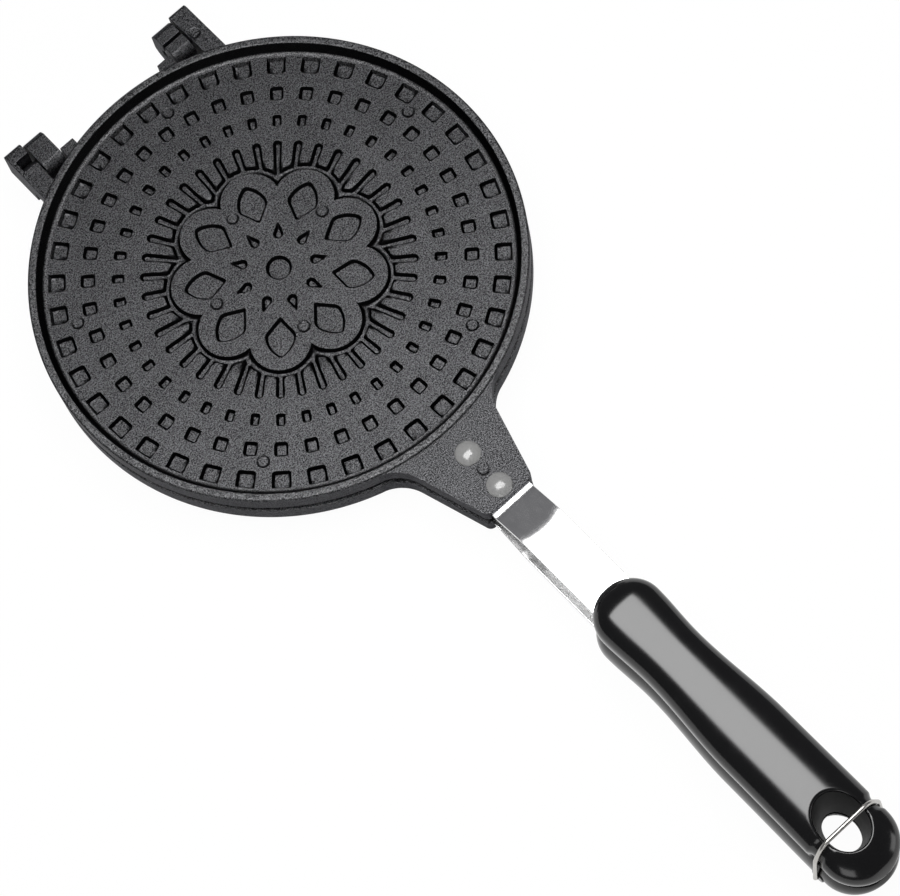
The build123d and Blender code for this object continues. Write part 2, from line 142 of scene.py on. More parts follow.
def rounded_end(distance: Points, rounding: float) -> Points:
    """How full a quarter-round end is at a distance from its tip: sqrt(1 - (1 - d/r)^2), up to 1."""
    share = np.clip(np.asarray(distance, float) / rounding, 0.0, 1.0)
    return np.sqrt(1.0 - (1.0 - share) ** 2)


def between(place: Points, start: float, end: float, low: float, high: float) -> Points:
    """A cosine step from low to high as place goes from start to end."""
    share = np.clip((place - start) / (end - start), 0.0, 1.0)
    return low + (high - low) * (1.0 - np.cos(np.pi * share)) / 2.0


def smooth_most(one: Points, other: Points, blend: float) -> Points:
    """The larger of two distances, blended where they are close: max + max(k - |a - b|, 0)^2 / 4k."""
    overlap = np.maximum(blend - np.abs(one - other), 0.0)
    return np.maximum(one, other) + overlap**2 / (4.0 * blend)


def full_turn(count: int) -> Points:
    """Angles that go evenly once round, without the last one, which is the first one again."""
    return np.linspace(0.0, 2.0 * np.pi, count, endpoint=False)


def arc(centre: Sequence[float], radius: float, start: float, end: float, count: int) -> Points:
    """Points of a circle: centre + radius (cos a, sin a), with a going evenly from start to end in degrees.

    Args:
        centre: The circle's centre in the drawing.
        radius: Its radius.
        start: First angle.
        end: Last angle.
        count: How many points, both ends included.

    Returns:
        An array of points, one a row.
    """
    angles = np.radians(np.linspace(start, end, count))
    return np.array(centre) + radius * np.stack([np.cos(angles), np.sin(angles)], axis=1)


def rounded_path(corners: Sequence[Sequence[float]], radii: Sequence[float], count: int = 12) -> Points:
    """A line of straight runs whose corners are arcs, each tangent to both of its runs.

    Args:
        corners: The corners, ends included.
        radii: The bend at each inner corner.
        count: How many points each arc has.

    Returns:
        The line's points in order.
    """
    places = np.array(corners, float)
    line = [places[:1]]
    for before, corner, after, radius in zip(places[:-2], places[1:-1], places[2:], radii):
        back = (before - corner) / np.linalg.norm(before - corner)
        ahead = (after - corner) / np.linalg.norm(after - corner)
        half = math.acos(float(np.clip(back @ ahead, -1.0, 1.0))) / 2
        inward = (back + ahead) / np.linalg.norm(back + ahead)
        centre = corner + inward * radius / math.sin(half)
        sweep = np.linspace(half - math.pi / 2, math.pi / 2 - half, count)[:, None]
        across = (ahead - back) / np.linalg.norm(ahead - back)
        line.append(centre + radius * (np.sin(sweep) * across - np.cos(sweep) * inward))
    line.append(places[-1:])
    return np.concatenate(line)


# Meshes


class Patchwork:
    """Grids and outlines that become a mesh, in millimetres, with heights outwards from the mating plane."""

    def __init__(self) -> None:
        """Starts with no points and no faces."""
        self.points: list[Points] = []
        self.loops: list[Points] = []
        self.totals: list[Points] = []
        self.normals: list[Points] = []
        self.count = 0

    def _faces(self, indices: Points) -> None:
        """Adds faces that all have the same number of corners, one face a row."""
        self.loops.append(indices.ravel())
        self.totals.append(np.full(len(indices), indices.shape[1], np.int32))

    def grid(self, points: Points, wrap: bool = False, normals: Optional[Points] = None) -> None:
        """Adds a grid of points as quads.

        Args:
            points: An array of rows, columns and 3 coordinates.
            wrap: Whether the last column joins the first one.
            normals: A normal for each point, where they are known from a formula.
        """
        rows, columns = points.shape[:2]
        index = self.count + np.arange(rows * columns).reshape(rows, columns)
        if wrap:
            index = np.concatenate([index, index[:, :1]], axis=1)
        corners = [index[:-1, :-1], index[:-1, 1:], index[1:, 1:], index[1:, :-1]]
        self._faces(np.stack([corner.ravel() for corner in corners], axis=1))
        self.points.append(points.reshape(-1, 3))
        if normals is not None:
            self.normals.append(normals.reshape(-1, 3))
        self.count += rows * columns

    def cap(self, outline: Points) -> None:
        """Adds one flat face.

        Args:
            outline: The face's corners, in order.
        """
        self._faces((self.count + np.arange(len(outline)))[None])
        self.points.append(outline)
        self.count += len(outline)

    def prism(self, outline: Points, to_space: Callable[[Points, float], Points],
              ends: Sequence[float]) -> None:
        """Adds an outline carried straight from one end to the other, closed by flat caps.

        Args:
            outline: The flat outline's points.
            to_space: Gives the points in space of the outline at one end.
            ends: Where the prism starts and stops.
        """
        first, last = (to_space(outline, end) for end in ends)
        self.grid(np.stack([first, last]), wrap=True)
        self.cap(first[::-1])
        self.cap(last)

    def mesh(self, name: str, half: Half, closed: bool = True,
             sharp: Optional[float] = None) -> bpy.types.Mesh:
        """Makes the mesh, in metres and in the row's frame.

        Args:
            name: The mesh's name.
            half: Which half it belongs to; the lower one mirrors the heights.
            closed: Whether to merge its seams and poles and to turn its faces outwards.
            sharp: Edges that turn by more than this many degrees stay sharp.

        Returns:
            The mesh.
        """
        points = np.concatenate(self.points) * (1.0, 1.0, half.sign)
        points[:, 2] += MATING_HEIGHT
        loops = np.concatenate(self.loops).astype(np.int32)
        totals = np.concatenate(self.totals)
        starts = np.concatenate([[0], np.cumsum(totals)[:-1]]).astype(np.int32)
        mesh = bpy.data.meshes.new(name)
        mesh.vertices.add(len(points))
        mesh.vertices.foreach_set("co", (points * MM).astype(np.float32).ravel())
        mesh.loops.add(len(loops))
        mesh.loops.foreach_set("vertex_index", loops)
        mesh.polygons.add(len(totals))
        mesh.polygons.foreach_set("loop_start", starts)
        mesh.polygons.foreach_set("use_smooth", np.ones(len(totals), bool))
        mesh.update(calc_edges=True)
        if closed:
            self._close(mesh)
        elif half is Half.LOWER:
            mesh.flip_normals()
        if self.normals:
            normals = np.concatenate(self.normals) * (1.0, 1.0, half.sign)
            mesh.normals_split_custom_set_from_vertices(normals.tolist())
        if sharp is not None:
            mesh.set_sharp_from_angle(angle=math.radians(sharp))
        return mesh

    @staticmethod
    def _close(mesh: bpy.types.Mesh) -> None:
        """Merges points that share a place and turns all faces outwards.

        Args:
            mesh: The mesh to close.
        """
        work = bmesh.new()
        work.from_mesh(mesh)
        bmesh.ops.remove_doubles(work, verts=work.verts, dist=MERGE_DISTANCE)
        bmesh.ops.dissolve_degenerate(work, edges=work.edges, dist=SHORTEST_EDGE)
        bmesh.ops.recalc_face_normals(work, faces=work.faces)
        work.to_mesh(mesh)
        work.free()
        mesh.update()


def along_x(outline: Points, place: float) -> Points:
    """An outline of places along the handle and heights, set at this X: (v, h) goes to (x, -v, h)."""
    return np.stack([np.full(len(outline), place), -outline[:, 0], outline[:, 1]], axis=1)


def along_height(outline: Points, height: float) -> Points:
    """A plan outline, set at this height: (x, v) goes to (x, -v, h)."""
    return np.stack([outline[:, 0], -outline[:, 1], np.full(len(outline), height)], axis=1)


def turned(profile: Points, centre: Sequence[float], lines: int) -> Points:
    """A profile of radii and heights turned round a standing axis: (r cos a, r sin a, h).

    Args:
        profile: Radii and heights, one point a row.
        centre: The axis's X and Y.
        lines: How many copies of the profile go round.

    Returns:
        A grid whose columns wrap round.
    """
    angles = full_turn(lines)
    radii, heights = profile[:, :1], profile[:, 1:]
    across = centre[0] + radii * np.cos(angles)
    along = centre[1] + radii * np.sin(angles)
    return np.stack([across, along, np.broadcast_to(heights, across.shape)], axis=2)


def turned_across(profile: Points, centre: Sequence[float], lines: int) -> Points:
    """A profile of places and radii turned round an axis along X: (x, v + r cos a, h + r sin a).

    Args:
        profile: Places across and radii, one point a row.
        centre: The axis's Y and height.
        lines: How many copies of the profile go round.

    Returns:
        A grid whose columns wrap round.
    """
    angles = full_turn(lines)
    places, radii = profile[:, :1], profile[:, 1:]
    along = centre[0] + radii * np.cos(angles)
    height = centre[1] + radii * np.sin(angles)
    return np.stack([np.broadcast_to(places, along.shape), along, height], axis=2)


def tube(line: Points, radius: float, normal: Points, sides: int = 20) -> Points:
    """A round tube along a flat line: line + radius (cos a side + sin a normal), side square to the line.

    Args:
        line: The centre line's points.
        radius: The tube's radius.
        normal: The normal of the plane that the line lies in.
        sides: How many columns go round.

    Returns:
        A grid whose columns wrap round, with both ends drawn in to a point.
    """
    run = np.gradient(line, axis=0)
    run /= np.linalg.norm(run, axis=1, keepdims=True)
    side = np.cross(run, normal)
    angles = full_turn(sides)
    round_it = np.cos(angles)[:, None] * side[:, None] + np.sin(angles)[:, None] * normal
    skin = line[:, None] + radius * round_it
    first = np.repeat(line[:1, None], sides, axis=1)
    last = np.repeat(line[-1:, None], sides, axis=1)
    return np.concatenate([first, skin, last])


def to_object(mesh: bpy.types.Mesh, name: str, body: str, nodes: Sequence[str],
              finish: bpy.types.Material) -> bpy.types.Object:
    """Puts a finished mesh into the scene as a piece that rides on its body.

    Args:
        mesh: The mesh, in place.
        name: The piece's name.
        body: The CAD body it rides on.
        nodes: The CAD nodes it stands for.
        finish: Its material.

    Returns:
        The piece.
    """
    piece = bpy.data.objects.new(name, mesh)
    bpy.context.scene.collection.objects.link(piece)
    piece.data.materials.clear()
    piece.data.materials.append(finish)
    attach(piece, body)
    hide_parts(*nodes)
    log.info("%s: %d faces on %s", name, len(mesh.polygons), body)
    return piece


def cut_out(mesh: bpy.types.Mesh, cutters: Sequence[bpy.types.Mesh]) -> bpy.types.Mesh:
    """Takes solid shapes out of a closed mesh.

    Args:
        mesh: The mesh to cut.
        cutters: The closed meshes to take away.

    Returns:
        The cut mesh.
    """
    scene = bpy.context.scene.collection.objects
    holder = bpy.data.objects.new("cutting", mesh)
    scene.link(holder)
    helpers = []
    for cutter in cutters:
        helper = bpy.data.objects.new("cutter", cutter)
        scene.link(helper)
        helpers.append(helper)
        cut = holder.modifiers.new("cut", "BOOLEAN")
        cut.operation = "DIFFERENCE"
        cut.solver = "EXACT"
        cut.object = helper
    graph = bpy.context.evaluated_depsgraph_get()
    result = bpy.data.meshes.new_from_object(holder.evaluated_get(graph))
    for helper in [holder, *helpers]:
        bpy.data.objects.remove(helper)
    return result


def round_edges(piece: bpy.types.Object, width: float, segments: int = 3, angle: float = 30.0) -> None:
    """Rounds a piece's sharp edges with a live Bevel that keeps its flat faces flat.

    Args:
        piece: The piece.
        width: How far the rounding reaches from each edge.
        segments: How many facets the rounding has.
        angle: Edges that turn by more than this are rounded.
    """
    bevel = piece.modifiers.new("rounded edges", "BEVEL")
    bevel.width = width * MM
    bevel.segments = segments
    bevel.limit_method = "ANGLE"
    bevel.angle_limit = math.radians(angle)
    bevel.harden_normals = True
    bevel.miter_outer = "MITER_ARC"


# Shaders


class Signal:
    """A shader socket: an expression on it adds the Math nodes that work it out."""

    def __init__(self, graph: "Graph", socket: bpy.types.NodeSocket) -> None:
        """Wraps one output socket of a graph."""
        self.graph = graph
        self.socket = socket

    def _math(self, operation: str, *terms: "Term") -> "Signal":
        """Adds one Math node on these terms."""
        return self.graph.add("ShaderNodeMath", {"operation": operation}, dict(enumerate(terms)))

    def __add__(self, other: "Term") -> "Signal":
        """Self plus other."""
        return self._math("ADD", self, other)

    def __radd__(self, other: "Term") -> "Signal":
        """Other plus self."""
        return self._math("ADD", other, self)

    def __sub__(self, other: "Term") -> "Signal":
        """Self minus other."""
        return self._math("SUBTRACT", self, other)

    def __rsub__(self, other: "Term") -> "Signal":
        """Other minus self."""
        return self._math("SUBTRACT", other, self)

    def __mul__(self, other: "Term") -> "Signal":
        """Self times other."""
        return self._math("MULTIPLY", self, other)

    def __rmul__(self, other: "Term") -> "Signal":
        """Other times self."""
        return self._math("MULTIPLY", other, self)

    def __truediv__(self, other: "Term") -> "Signal":
        """Self divided by other."""
        return self._math("DIVIDE", self, other)

    def __rtruediv__(self, other: "Term") -> "Signal":
        """Other divided by self."""
        return self._math("DIVIDE", other, self)

    def least(self, other: "Term") -> "Signal":
        """The smaller of self and other."""
        return self._math("MINIMUM", self, other)

    def most(self, other: "Term") -> "Signal":
        """The larger of self and other."""
        return self._math("MAXIMUM", self, other)

    def held(self) -> "Signal":
        """Self, held between 0 and 1."""
        return self.most(0.0).least(1.0)

    def spread(self, low: float, high: float) -> "Signal":
        """What goes evenly from low to high while self goes from 0 to 1."""
        return low + (high - low) * self


Term = Union[Signal, Number]
VectorTerm = Union[Signal, Sequence[float]]
Colour = tuple[float, float, float]


class MixSocket(IntEnum):
    """The Mix node's sockets for colours, by number."""

    SHARE = 0
    LOW = 6
    HIGH = 7
    RESULT = 2


def darker(colour: Colour, share: float) -> Colour:
    """This share of a colour."""
    return tuple(share * part for part in colour)


class Graph:
    """The node tree of one material or world."""

    def __init__(self, tree: bpy.types.NodeTree) -> None:
        """Empties the tree, ready for its nodes."""
        self.tree = tree
        tree.nodes.clear()

    def add(self, kind: str, settings: Optional[dict] = None, inputs: Optional[dict] = None,
            output: Union[int, str] = 0) -> Signal:
        """Adds a node, sets its properties first and then its sockets.

        Args:
            kind: The node's type.
            settings: Its properties; a ramp's stops are given as "stops", pairs of place and grey level.
            inputs: Values or links by socket name or number.
            output: Which output to hand back.

        Returns:
            The output as a signal.
        """
        node = self.tree.nodes.new(kind)
        for name, value in (settings or {}).items():
            if name == "stops":
                self._set_stops(node.color_ramp, value)
            else:
                setattr(node, name, value)
        for name, value in (inputs or {}).items():
            if isinstance(value, Signal):
                self.tree.links.new(value.socket, node.inputs[name])
            else:
                node.inputs[name].default_value = value
        if not len(node.outputs):
            return Signal(self, None)
        return Signal(self, node.outputs[output])

    @staticmethod
    def _set_stops(ramp: bpy.types.ColorRamp, stops: Sequence[tuple[float, float]]) -> None:
        """Sets a ramp's stops.

        Args:
            ramp: The ramp.
            stops: Pairs of place and grey level.
        """
        while len(ramp.elements) < len(stops):
            ramp.elements.new(1.0)
        for element, (place, level) in zip(ramp.elements, stops):
            element.position = place
            element.color = (level, level, level, 1.0)

    def place(self, scale: Sequence[float] = (1.0, 1.0, 1.0)) -> Signal:
        """The point on the object, in metres, with each axis stretched by this scale."""
        here = self.add("ShaderNodeTexCoord", output="Object")
        return self.add("ShaderNodeVectorMath", {"operation": "MULTIPLY"}, {0: here, 1: scale})

    def noise(self, per_metre: float, detail: float = 2.0, roughness: float = 0.5,
              stretch: Sequence[float] = (1.0, 1.0, 1.0)) -> Signal:
        """A noise from 0 to 1.

        Args:
            per_metre: How many features it has in a metre.
            detail: How many finer layers it has.
            roughness: How strong each layer is beside the one before.
            stretch: How much each axis is stretched.

        Returns:
            The noise.
        """
        where = self.place(stretch)
        inputs = {"Vector": where, "Scale": per_metre, "Detail": detail, "Roughness": roughness}
        return self.add("ShaderNodeTexNoise", {}, inputs, "Fac")

    def ramp(self, signal: Signal, *stops: tuple[float, float]) -> Signal:
        """The signal passed through a ramp of these places and levels."""
        return self.add("ShaderNodeValToRGB", {"stops": stops}, {"Fac": signal}, "Color")

    def tint(self, share: Term, low: Colour, high: Colour) -> Signal:
        """A colour between low and high at this share."""
        inputs = {MixSocket.SHARE: share, MixSocket.LOW: (*low, 1.0), MixSocket.HIGH: (*high, 1.0)}
        return self.add("ShaderNodeMix", {"data_type": "RGBA"}, inputs, MixSocket.RESULT)

    def measure(self, operation: str, *vectors: VectorTerm) -> Signal:
        """The number that Vector Math gives for these vectors, such as their DISTANCE."""
        return self.add("ShaderNodeVectorMath", {"operation": operation}, dict(enumerate(vectors)), "Value")

    def bump(self, height: Signal, depth: float, under: Optional[Signal] = None) -> Signal:
        """A bump, over another bump where one is given.

        Args:
            height: The height, from 0 to 1.
            depth: How deep the bump is, in millimetres.
            under: The bump below it.

        Returns:
            The normal.
        """
        inputs = {"Height": height, "Distance": depth * MM, "Strength": 1.0}
        if under is not None:
            inputs["Normal"] = under
        return self.add("ShaderNodeBump", {}, inputs, "Normal")


@dataclass(frozen=True)
class Finish(ABC):
    """A finish with one Principled shader."""

    name: str

    @abstractmethod
    def fill(self, graph: Graph) -> dict:
        """Builds the finish's nodes.

        Args:
            graph: Where the nodes go.

        Returns:
            What each socket of the Principled shader gets.
        """

    def material(self) -> bpy.types.Material:
        """Builds the finish.

        Returns:
            The finish as a material.
        """
        material = bpy.data.materials.new(self.name)
        material.use_nodes = True
        graph = Graph(material.node_tree)
        surface = graph.add("ShaderNodeBsdfPrincipled", {}, self.fill(graph), "BSDF")
        graph.add("ShaderNodeOutputMaterial", {}, {"Surface": surface})
        return material


@dataclass(frozen=True)
class CastCoating(Finish):
    """Dark non-stick coating over a sand-blasted casting, with a fine sparkling grain, and painted shade
    that darkens the walls between two heights.
    """

    name: str = "cast_coating"
    low: Colour = (0.0100, 0.0100, 0.0106)
    high: Colour = (0.1280, 0.1287, 0.1340)
    edge_tint: Colour = (0.40, 0.40, 0.41)
    roughness: tuple[float, float] = (0.30, 0.40)
    grain_per_metre: float = 1900.0
    fine_grain_per_metre: float = 6500.0
    mottle_per_metre: float = 60.0
    grain_shares: tuple[float, float, float] = (0.76, 0.2, 0.04)
    darkest: float = 0.41
    brightest: float = 0.62
    grain_depth: float = 0.24
    fine_grain_depth: float = 0.06
    pin_marks: tuple[tuple[float, float], ...] = ()
    pin_mark_radius: float = 2.7
    pin_mark_edge: float = 0.9
    pin_mark_depth: float = 0.7
    # Painted shade: the heights between which the walls' colour is darkened, the margin over which it fades
    # in, and how far from the axis it reaches.
    painted_shade_heights: tuple[float, float] = (2.40, 4.22)
    painted_shade_margin: float = 0.15
    painted_shade_reach: float = 96.0
    paints_wall_shade: bool = True

    def _painted_wall_shade(self, graph: Graph) -> Signal:
        """Where shade is painted: the walls between two heights on either half, as far out as the rim's top.

        Args:
            graph: Where the nodes go.

        Returns:
            1 on the walls, where the colour is darkened as painted shade, and 0 elsewhere.
        """
        floor, land = self.painted_shade_heights
        height = graph.measure("DISTANCE", graph.place((0.0, 0.0, 1.0)), (0.0, 0.0, MATING_HEIGHT * MM))
        radius = graph.measure("LENGTH", graph.place((1.0, 1.0, 0.0)))
        inside = (height - floor * MM).least(land * MM - height).least(self.painted_shade_reach * MM - radius)
        return (inside / (self.painted_shade_margin * MM)).held()

    def _land(self, graph: Graph) -> Signal:
        """The land round the ejector pins' shallow marks, with a steep slope into each.

        Args:
            graph: Where the nodes go.

        Returns:
            1 on the land and 0 within each mark.
        """
        flat = graph.place((1.0, 1.0, 0.0))
        nearest: Optional[Signal] = None
        for across, along in self.pin_marks:
            distance = graph.measure("DISTANCE", flat, (across * MM, along * MM, 0.0))
            nearest = distance if nearest is None else nearest.least(distance)
        slope = (nearest - (self.pin_mark_radius - self.pin_mark_edge) * MM) / (self.pin_mark_edge * MM)
        return slope.held()

    def fill(self, graph: Graph) -> dict:
        """The grain's colour, roughness and bump, with the pin marks where there are any, and painted shade
        on the walls.

        Args:
            graph: Where the nodes go.

        Returns:
            What each socket of the Principled shader gets.
        """
        grain = graph.noise(self.grain_per_metre, detail=3.0, roughness=0.6)
        fine = graph.noise(self.fine_grain_per_metre, detail=1.0)
        mottle = graph.noise(self.mottle_per_metre, detail=2.0)
        coarse_share, fine_share, mottle_share = self.grain_shares
        mixed = grain * coarse_share + fine * fine_share + mottle * mottle_share
        tone = graph.ramp(mixed, (self.darkest, 0.0), (self.brightest, 1.0))
        normal = graph.bump(grain, self.grain_depth)
        normal = graph.bump(fine, self.fine_grain_depth, normal)
        if self.pin_marks:
            normal = graph.bump(self._land(graph), self.pin_mark_depth, normal)
        # Painted shade: the colour goes to black on the walls, standing in for the shade that falls in the
        # pockets and inside the rim.
        if self.paints_wall_shade:
            tone = tone * (1.0 - self._painted_wall_shade(graph))
        return {
            "Base Color": graph.tint(tone, self.low, self.high),
            "Metallic": 1.0,
            "Specular Tint": (*self.edge_tint, 1.0),
            "Roughness": grain.spread(*self.roughness),
            "Normal": normal,
        }


@dataclass(frozen=True)
class PolishedSteel(Finish):
    """Bright stainless band with faint lengthwise polishing lines."""

    name: str = "polished_steel"
    colour: Colour = (0.84, 0.84, 0.84)
    dark_share: float = 0.92
    roughness: tuple[float, float] = (0.16, 0.25)
    lines_per_metre: float = 900.0
    line_stretch: tuple[float, float, float] = (1.0, 0.02, 1.0)
    line_depth: float = 0.004
    clouds_per_metre: float = 80.0

    def fill(self, graph: Graph) -> dict:
        """The band's colour, roughness and polishing lines.

        Args:
            graph: Where the nodes go.

        Returns:
            What each socket of the Principled shader gets.
        """
        lines = graph.noise(self.lines_per_metre, detail=2.0, stretch=self.line_stretch)
        clouds = graph.noise(self.clouds_per_metre, detail=2.0)
        return {
            "Base Color": graph.tint(clouds, self.colour, darker(self.colour, self.dark_share)),
            "Metallic": 1.0,
            "Roughness": lines.spread(*self.roughness),
            "Normal": graph.bump(lines, self.line_depth),
        }


@dataclass(frozen=True)
class RivetMetal(Finish):
    """Dull aluminium under its oxide, a little uneven from the hammer."""

    name: str = "rivet_aluminium"
    colour: Colour = (0.25, 0.25, 0.246)
    dark_share: float = 0.8
    roughness: tuple[float, float] = (0.13, 0.20)
    metal_share: float = 0.12
    dents_per_metre: float = 420.0
    dent_depth: float = 0.18
    specks_per_metre: float = 2500.0

    def fill(self, graph: Graph) -> dict:
        """The dome's dents and its slightly uneven shine.

        Args:
            graph: Where the nodes go.

        Returns:
            What each socket of the Principled shader gets.
        """
        dents = graph.noise(self.dents_per_metre, detail=2.0)
        specks = graph.noise(self.specks_per_metre, detail=1.0)
        return {
            "Base Color": graph.tint(specks, self.colour, darker(self.colour, self.dark_share)),
            "Metallic": self.metal_share,
            "Roughness": specks.spread(*self.roughness),
            "Normal": graph.bump(dents, self.dent_depth),
        }


@dataclass(frozen=True)
class PlainSteel(Finish):
    """Plain steel with fine marks, as on the hinge pins and the screws."""

    name: str
    colour: Colour
    dark_share: float = 0.8
    roughness: tuple[float, float] = (0.25, 0.40)
    marks_per_metre: float = 900.0
    mark_detail: float = 3.0
    mark_depth: float = 0.01

    def fill(self, graph: Graph) -> dict:
        """The steel's colour and fine marks.

        Args:
            graph: Where the nodes go.

        Returns:
            What each socket of the Principled shader gets.
        """
        marks = graph.noise(self.marks_per_metre, detail=self.mark_detail)
        return {
            "Base Color": graph.tint(marks, self.colour, darker(self.colour, self.dark_share)),
            "Metallic": 1.0,
            "Roughness": marks.spread(*self.roughness),
            "Normal": graph.bump(marks, self.mark_depth),
        }


@dataclass(frozen=True)
class DrawnWire(PlainSteel):
    """Bright wire with its drawing marks."""

    name: str = "drawn_wire"
    colour: Colour = (0.52, 0.505, 0.48)
    dark_share: float = 0.85
    roughness: tuple[float, float] = (0.22, 0.36)
    marks_per_metre: float = 700.0
    mark_detail: float = 2.0


@dataclass(frozen=True)
class GlossyMoulding(Finish):
    """Black phenolic moulding with a high gloss and faint handling marks."""

    name: str = "glossy_moulding"
    low: Colour = (0.0016, 0.0016, 0.0018)
    high: Colour = (0.0034, 0.0034, 0.0036)
    roughness: tuple[float, float] = (0.12, 0.20)
    specular_level: float = 0.56
    haze_per_metre: float = 160.0
    waves_per_metre: float = 28.0
    wave_depth: float = 0.05

    def fill(self, graph: Graph) -> dict:
        """The moulding's slight waviness and its faint haze.

        Args:
            graph: Where the nodes go.

        Returns:
            What each socket of the Principled shader gets.
        """
        waves = graph.noise(self.waves_per_metre, detail=1.0)
        haze = graph.noise(self.haze_per_metre, detail=4.0, roughness=0.6)
        return {
            "Base Color": graph.tint(haze, self.low, self.high),
            "Roughness": haze.spread(*self.roughness),
            "Specular IOR Level": self.specular_level,
            "Normal": graph.bump(waves, self.wave_depth),
        }


# Sub-assemblies


@dataclass(frozen=True)
class Relief:
    """The sunk field of a plate, with its rings of pockets, its slots, its moat and its flower."""

    field_radius: float = 91.6
    field_level: float = 4.25
    pocket_depth: float = 1.9
    columns: int = 40
    petals: int = 9
    ring_radii: tuple[float, ...] = (87.6, 75.0, 63.1)
    ring_lengths: tuple[float, ...] = (7.3, 5.5, 4.7)
    ring_widths: tuple[float, ...] = (7.2, 5.1, 3.3)
    pocket_corners: tuple[float, ...] = (1.3, 1.1, 0.9)
    slot_tip: float = 54.3
    slot_root: float = 37.0
    slot_half_widths: tuple[float, float] = (1.16, 1.62)
    moat_outer: tuple[float, float] = (45.6, 40.6)
    moat_inner: tuple[float, float] = (43.0, 34.8)
    petal_radii: tuple[float, float, float] = (20.8, 28.0, 37.7)
    petal_width: float = 12.0
    petal_middle_width: float = 9.42
    drop_radii: tuple[float, float, float] = (12.6, 14.6, 19.6)
    drop_width: float = 3.7
    centre_radius: float = 4.9
    edge_outside: float = 0.3
    edge_inside: float = 0.95
    corner_blend: float = 1.0
    wall_lines: tuple[float, ...] = (0.32, 0.16, 0.03, -0.1, -0.24, -0.38, -0.52, -0.66, -0.81, -0.97)
    slots_end: float = 55.3
    slot_tip_margins: tuple[float, float] = (0.4, 0.2)
    slot_tip_rows: int = 11
    slot_rows: tuple[float, ...] = (50.0, 48.0, 46.8)
    slot_mouth_margin: float = 0.06
    floor_room: float = 0.95
    heart_radius: float = 20.0
    overlap: float = 0.3
    pole: float = 0.001

    @property
    def column_half(self) -> float:
        """Half the angle of a column, in radians."""
        return math.pi / self.columns

    @property
    def petal_half(self) -> float:
        """Half the angle of a petal's share of the circle, in radians."""
        return math.pi / self.petals

    def _folded(self, across: Points, along: Points, half_angle: float,
                shift: float) -> tuple[Points, Points]:
        """Turns every point into the circle's first share: the angle from the handle, less whole shares.

        Args:
            across: X of the points.
            along: Distance towards the handle.
            half_angle: Half a share's angle.
            shift: The angle of the first share's middle line.

        Returns:
            How far out along the share's middle line, and how far off it.
        """
        radius = np.hypot(across, along)
        angle = np.arctan2(across, along) - shift
        angle = (angle + half_angle) % (2.0 * half_angle) - half_angle
        return radius * np.cos(angle), radius * np.sin(angle)

    def _lobe_centre(self, outline: tuple[float, float]) -> float:
        """How far out the circle through a lobe's peak and its two cusps has its centre."""
        peak, cusp = outline
        return (peak**2 - cusp**2) / (2.0 * (peak - cusp * math.cos(self.petal_half)))

    def _lobed(self, out: Points, off: Points, outline: tuple[float, float]) -> Points:
        """Distance outside a lobed outline: the lobe's circle, joined to the disc within the cusps.

        Args:
            out: Places along the lobe's middle line.
            off: Places off it.
            outline: How far out the lobes' peaks and cusps are.

        Returns:
            The distance, negative inside.
        """
        peak, cusp = outline
        centre = self._lobe_centre(outline)
        return np.minimum(np.hypot(out - centre, off) - (peak - centre), np.hypot(out, off) - cusp)

    def lobed_radius(self, angle: Points, outline: tuple[float, float]) -> Points:
        """How far a lobed outline is from the middle: on its ray, c cos a + sqrt(r^2 - (c sin a)^2).

        Args:
            angle: Angles from the handle.
            outline: How far out the lobes' peaks and cusps are.

        Returns:
            The outline's radius at each angle.
        """
        centre = self._lobe_centre(outline)
        folded = (angle + self.petal_half) % (2.0 * self.petal_half) - self.petal_half
        reach = (outline[0] - centre) ** 2 - (centre * np.sin(folded)) ** 2
        return centre * np.cos(folded) + np.sqrt(reach)

    def _both_sides(self, off: Points, run: Points, along: Points) -> Points:
        """Distance outside two straight sides that meet on the middle line in a blunt point."""
        return smooth_most(off * run[0] - along, -off * run[0] - along, self.corner_blend)

    def _leaf(self, out: Points, off: Points, point: float, shoulder: float, tip: float,
              half_width: float) -> Points:
        """Distance outside a leaf: straight from its point to its shoulders, then the arc through its tip.

        Args:
            out: Places along the leaf's middle line.
            off: Places off it.
            point: Where the straight sides meet.
            shoulder: Where the sides meet the arc.
            tip: Where the arc crosses the middle line.
            half_width: Half the width at the shoulders.

        Returns:
            The distance, negative inside.
        """
        off = np.abs(off)
        facing = 1.0 if tip > point else -1.0
        out = out * facing
        point, shoulder, tip = point * facing, shoulder * facing, tip * facing
        centre = (tip**2 - shoulder**2 - half_width**2) / (2.0 * (tip - shoulder))
        to_arc = np.hypot(out - centre, off) - (tip - centre)
        run = np.array([shoulder - point, half_width])
        run = run / np.hypot(*run)
        to_side = self._both_sides(off, run, (out - point) * run[1])
        outward = np.array([shoulder - centre, half_width])
        outward = outward / np.hypot(*outward)
        split = np.array([-run[1], run[0]]) + outward
        beyond = (out - shoulder) * split[1] - (off - half_width) * split[0]
        return np.where(beyond > 0.0, to_arc, to_side)

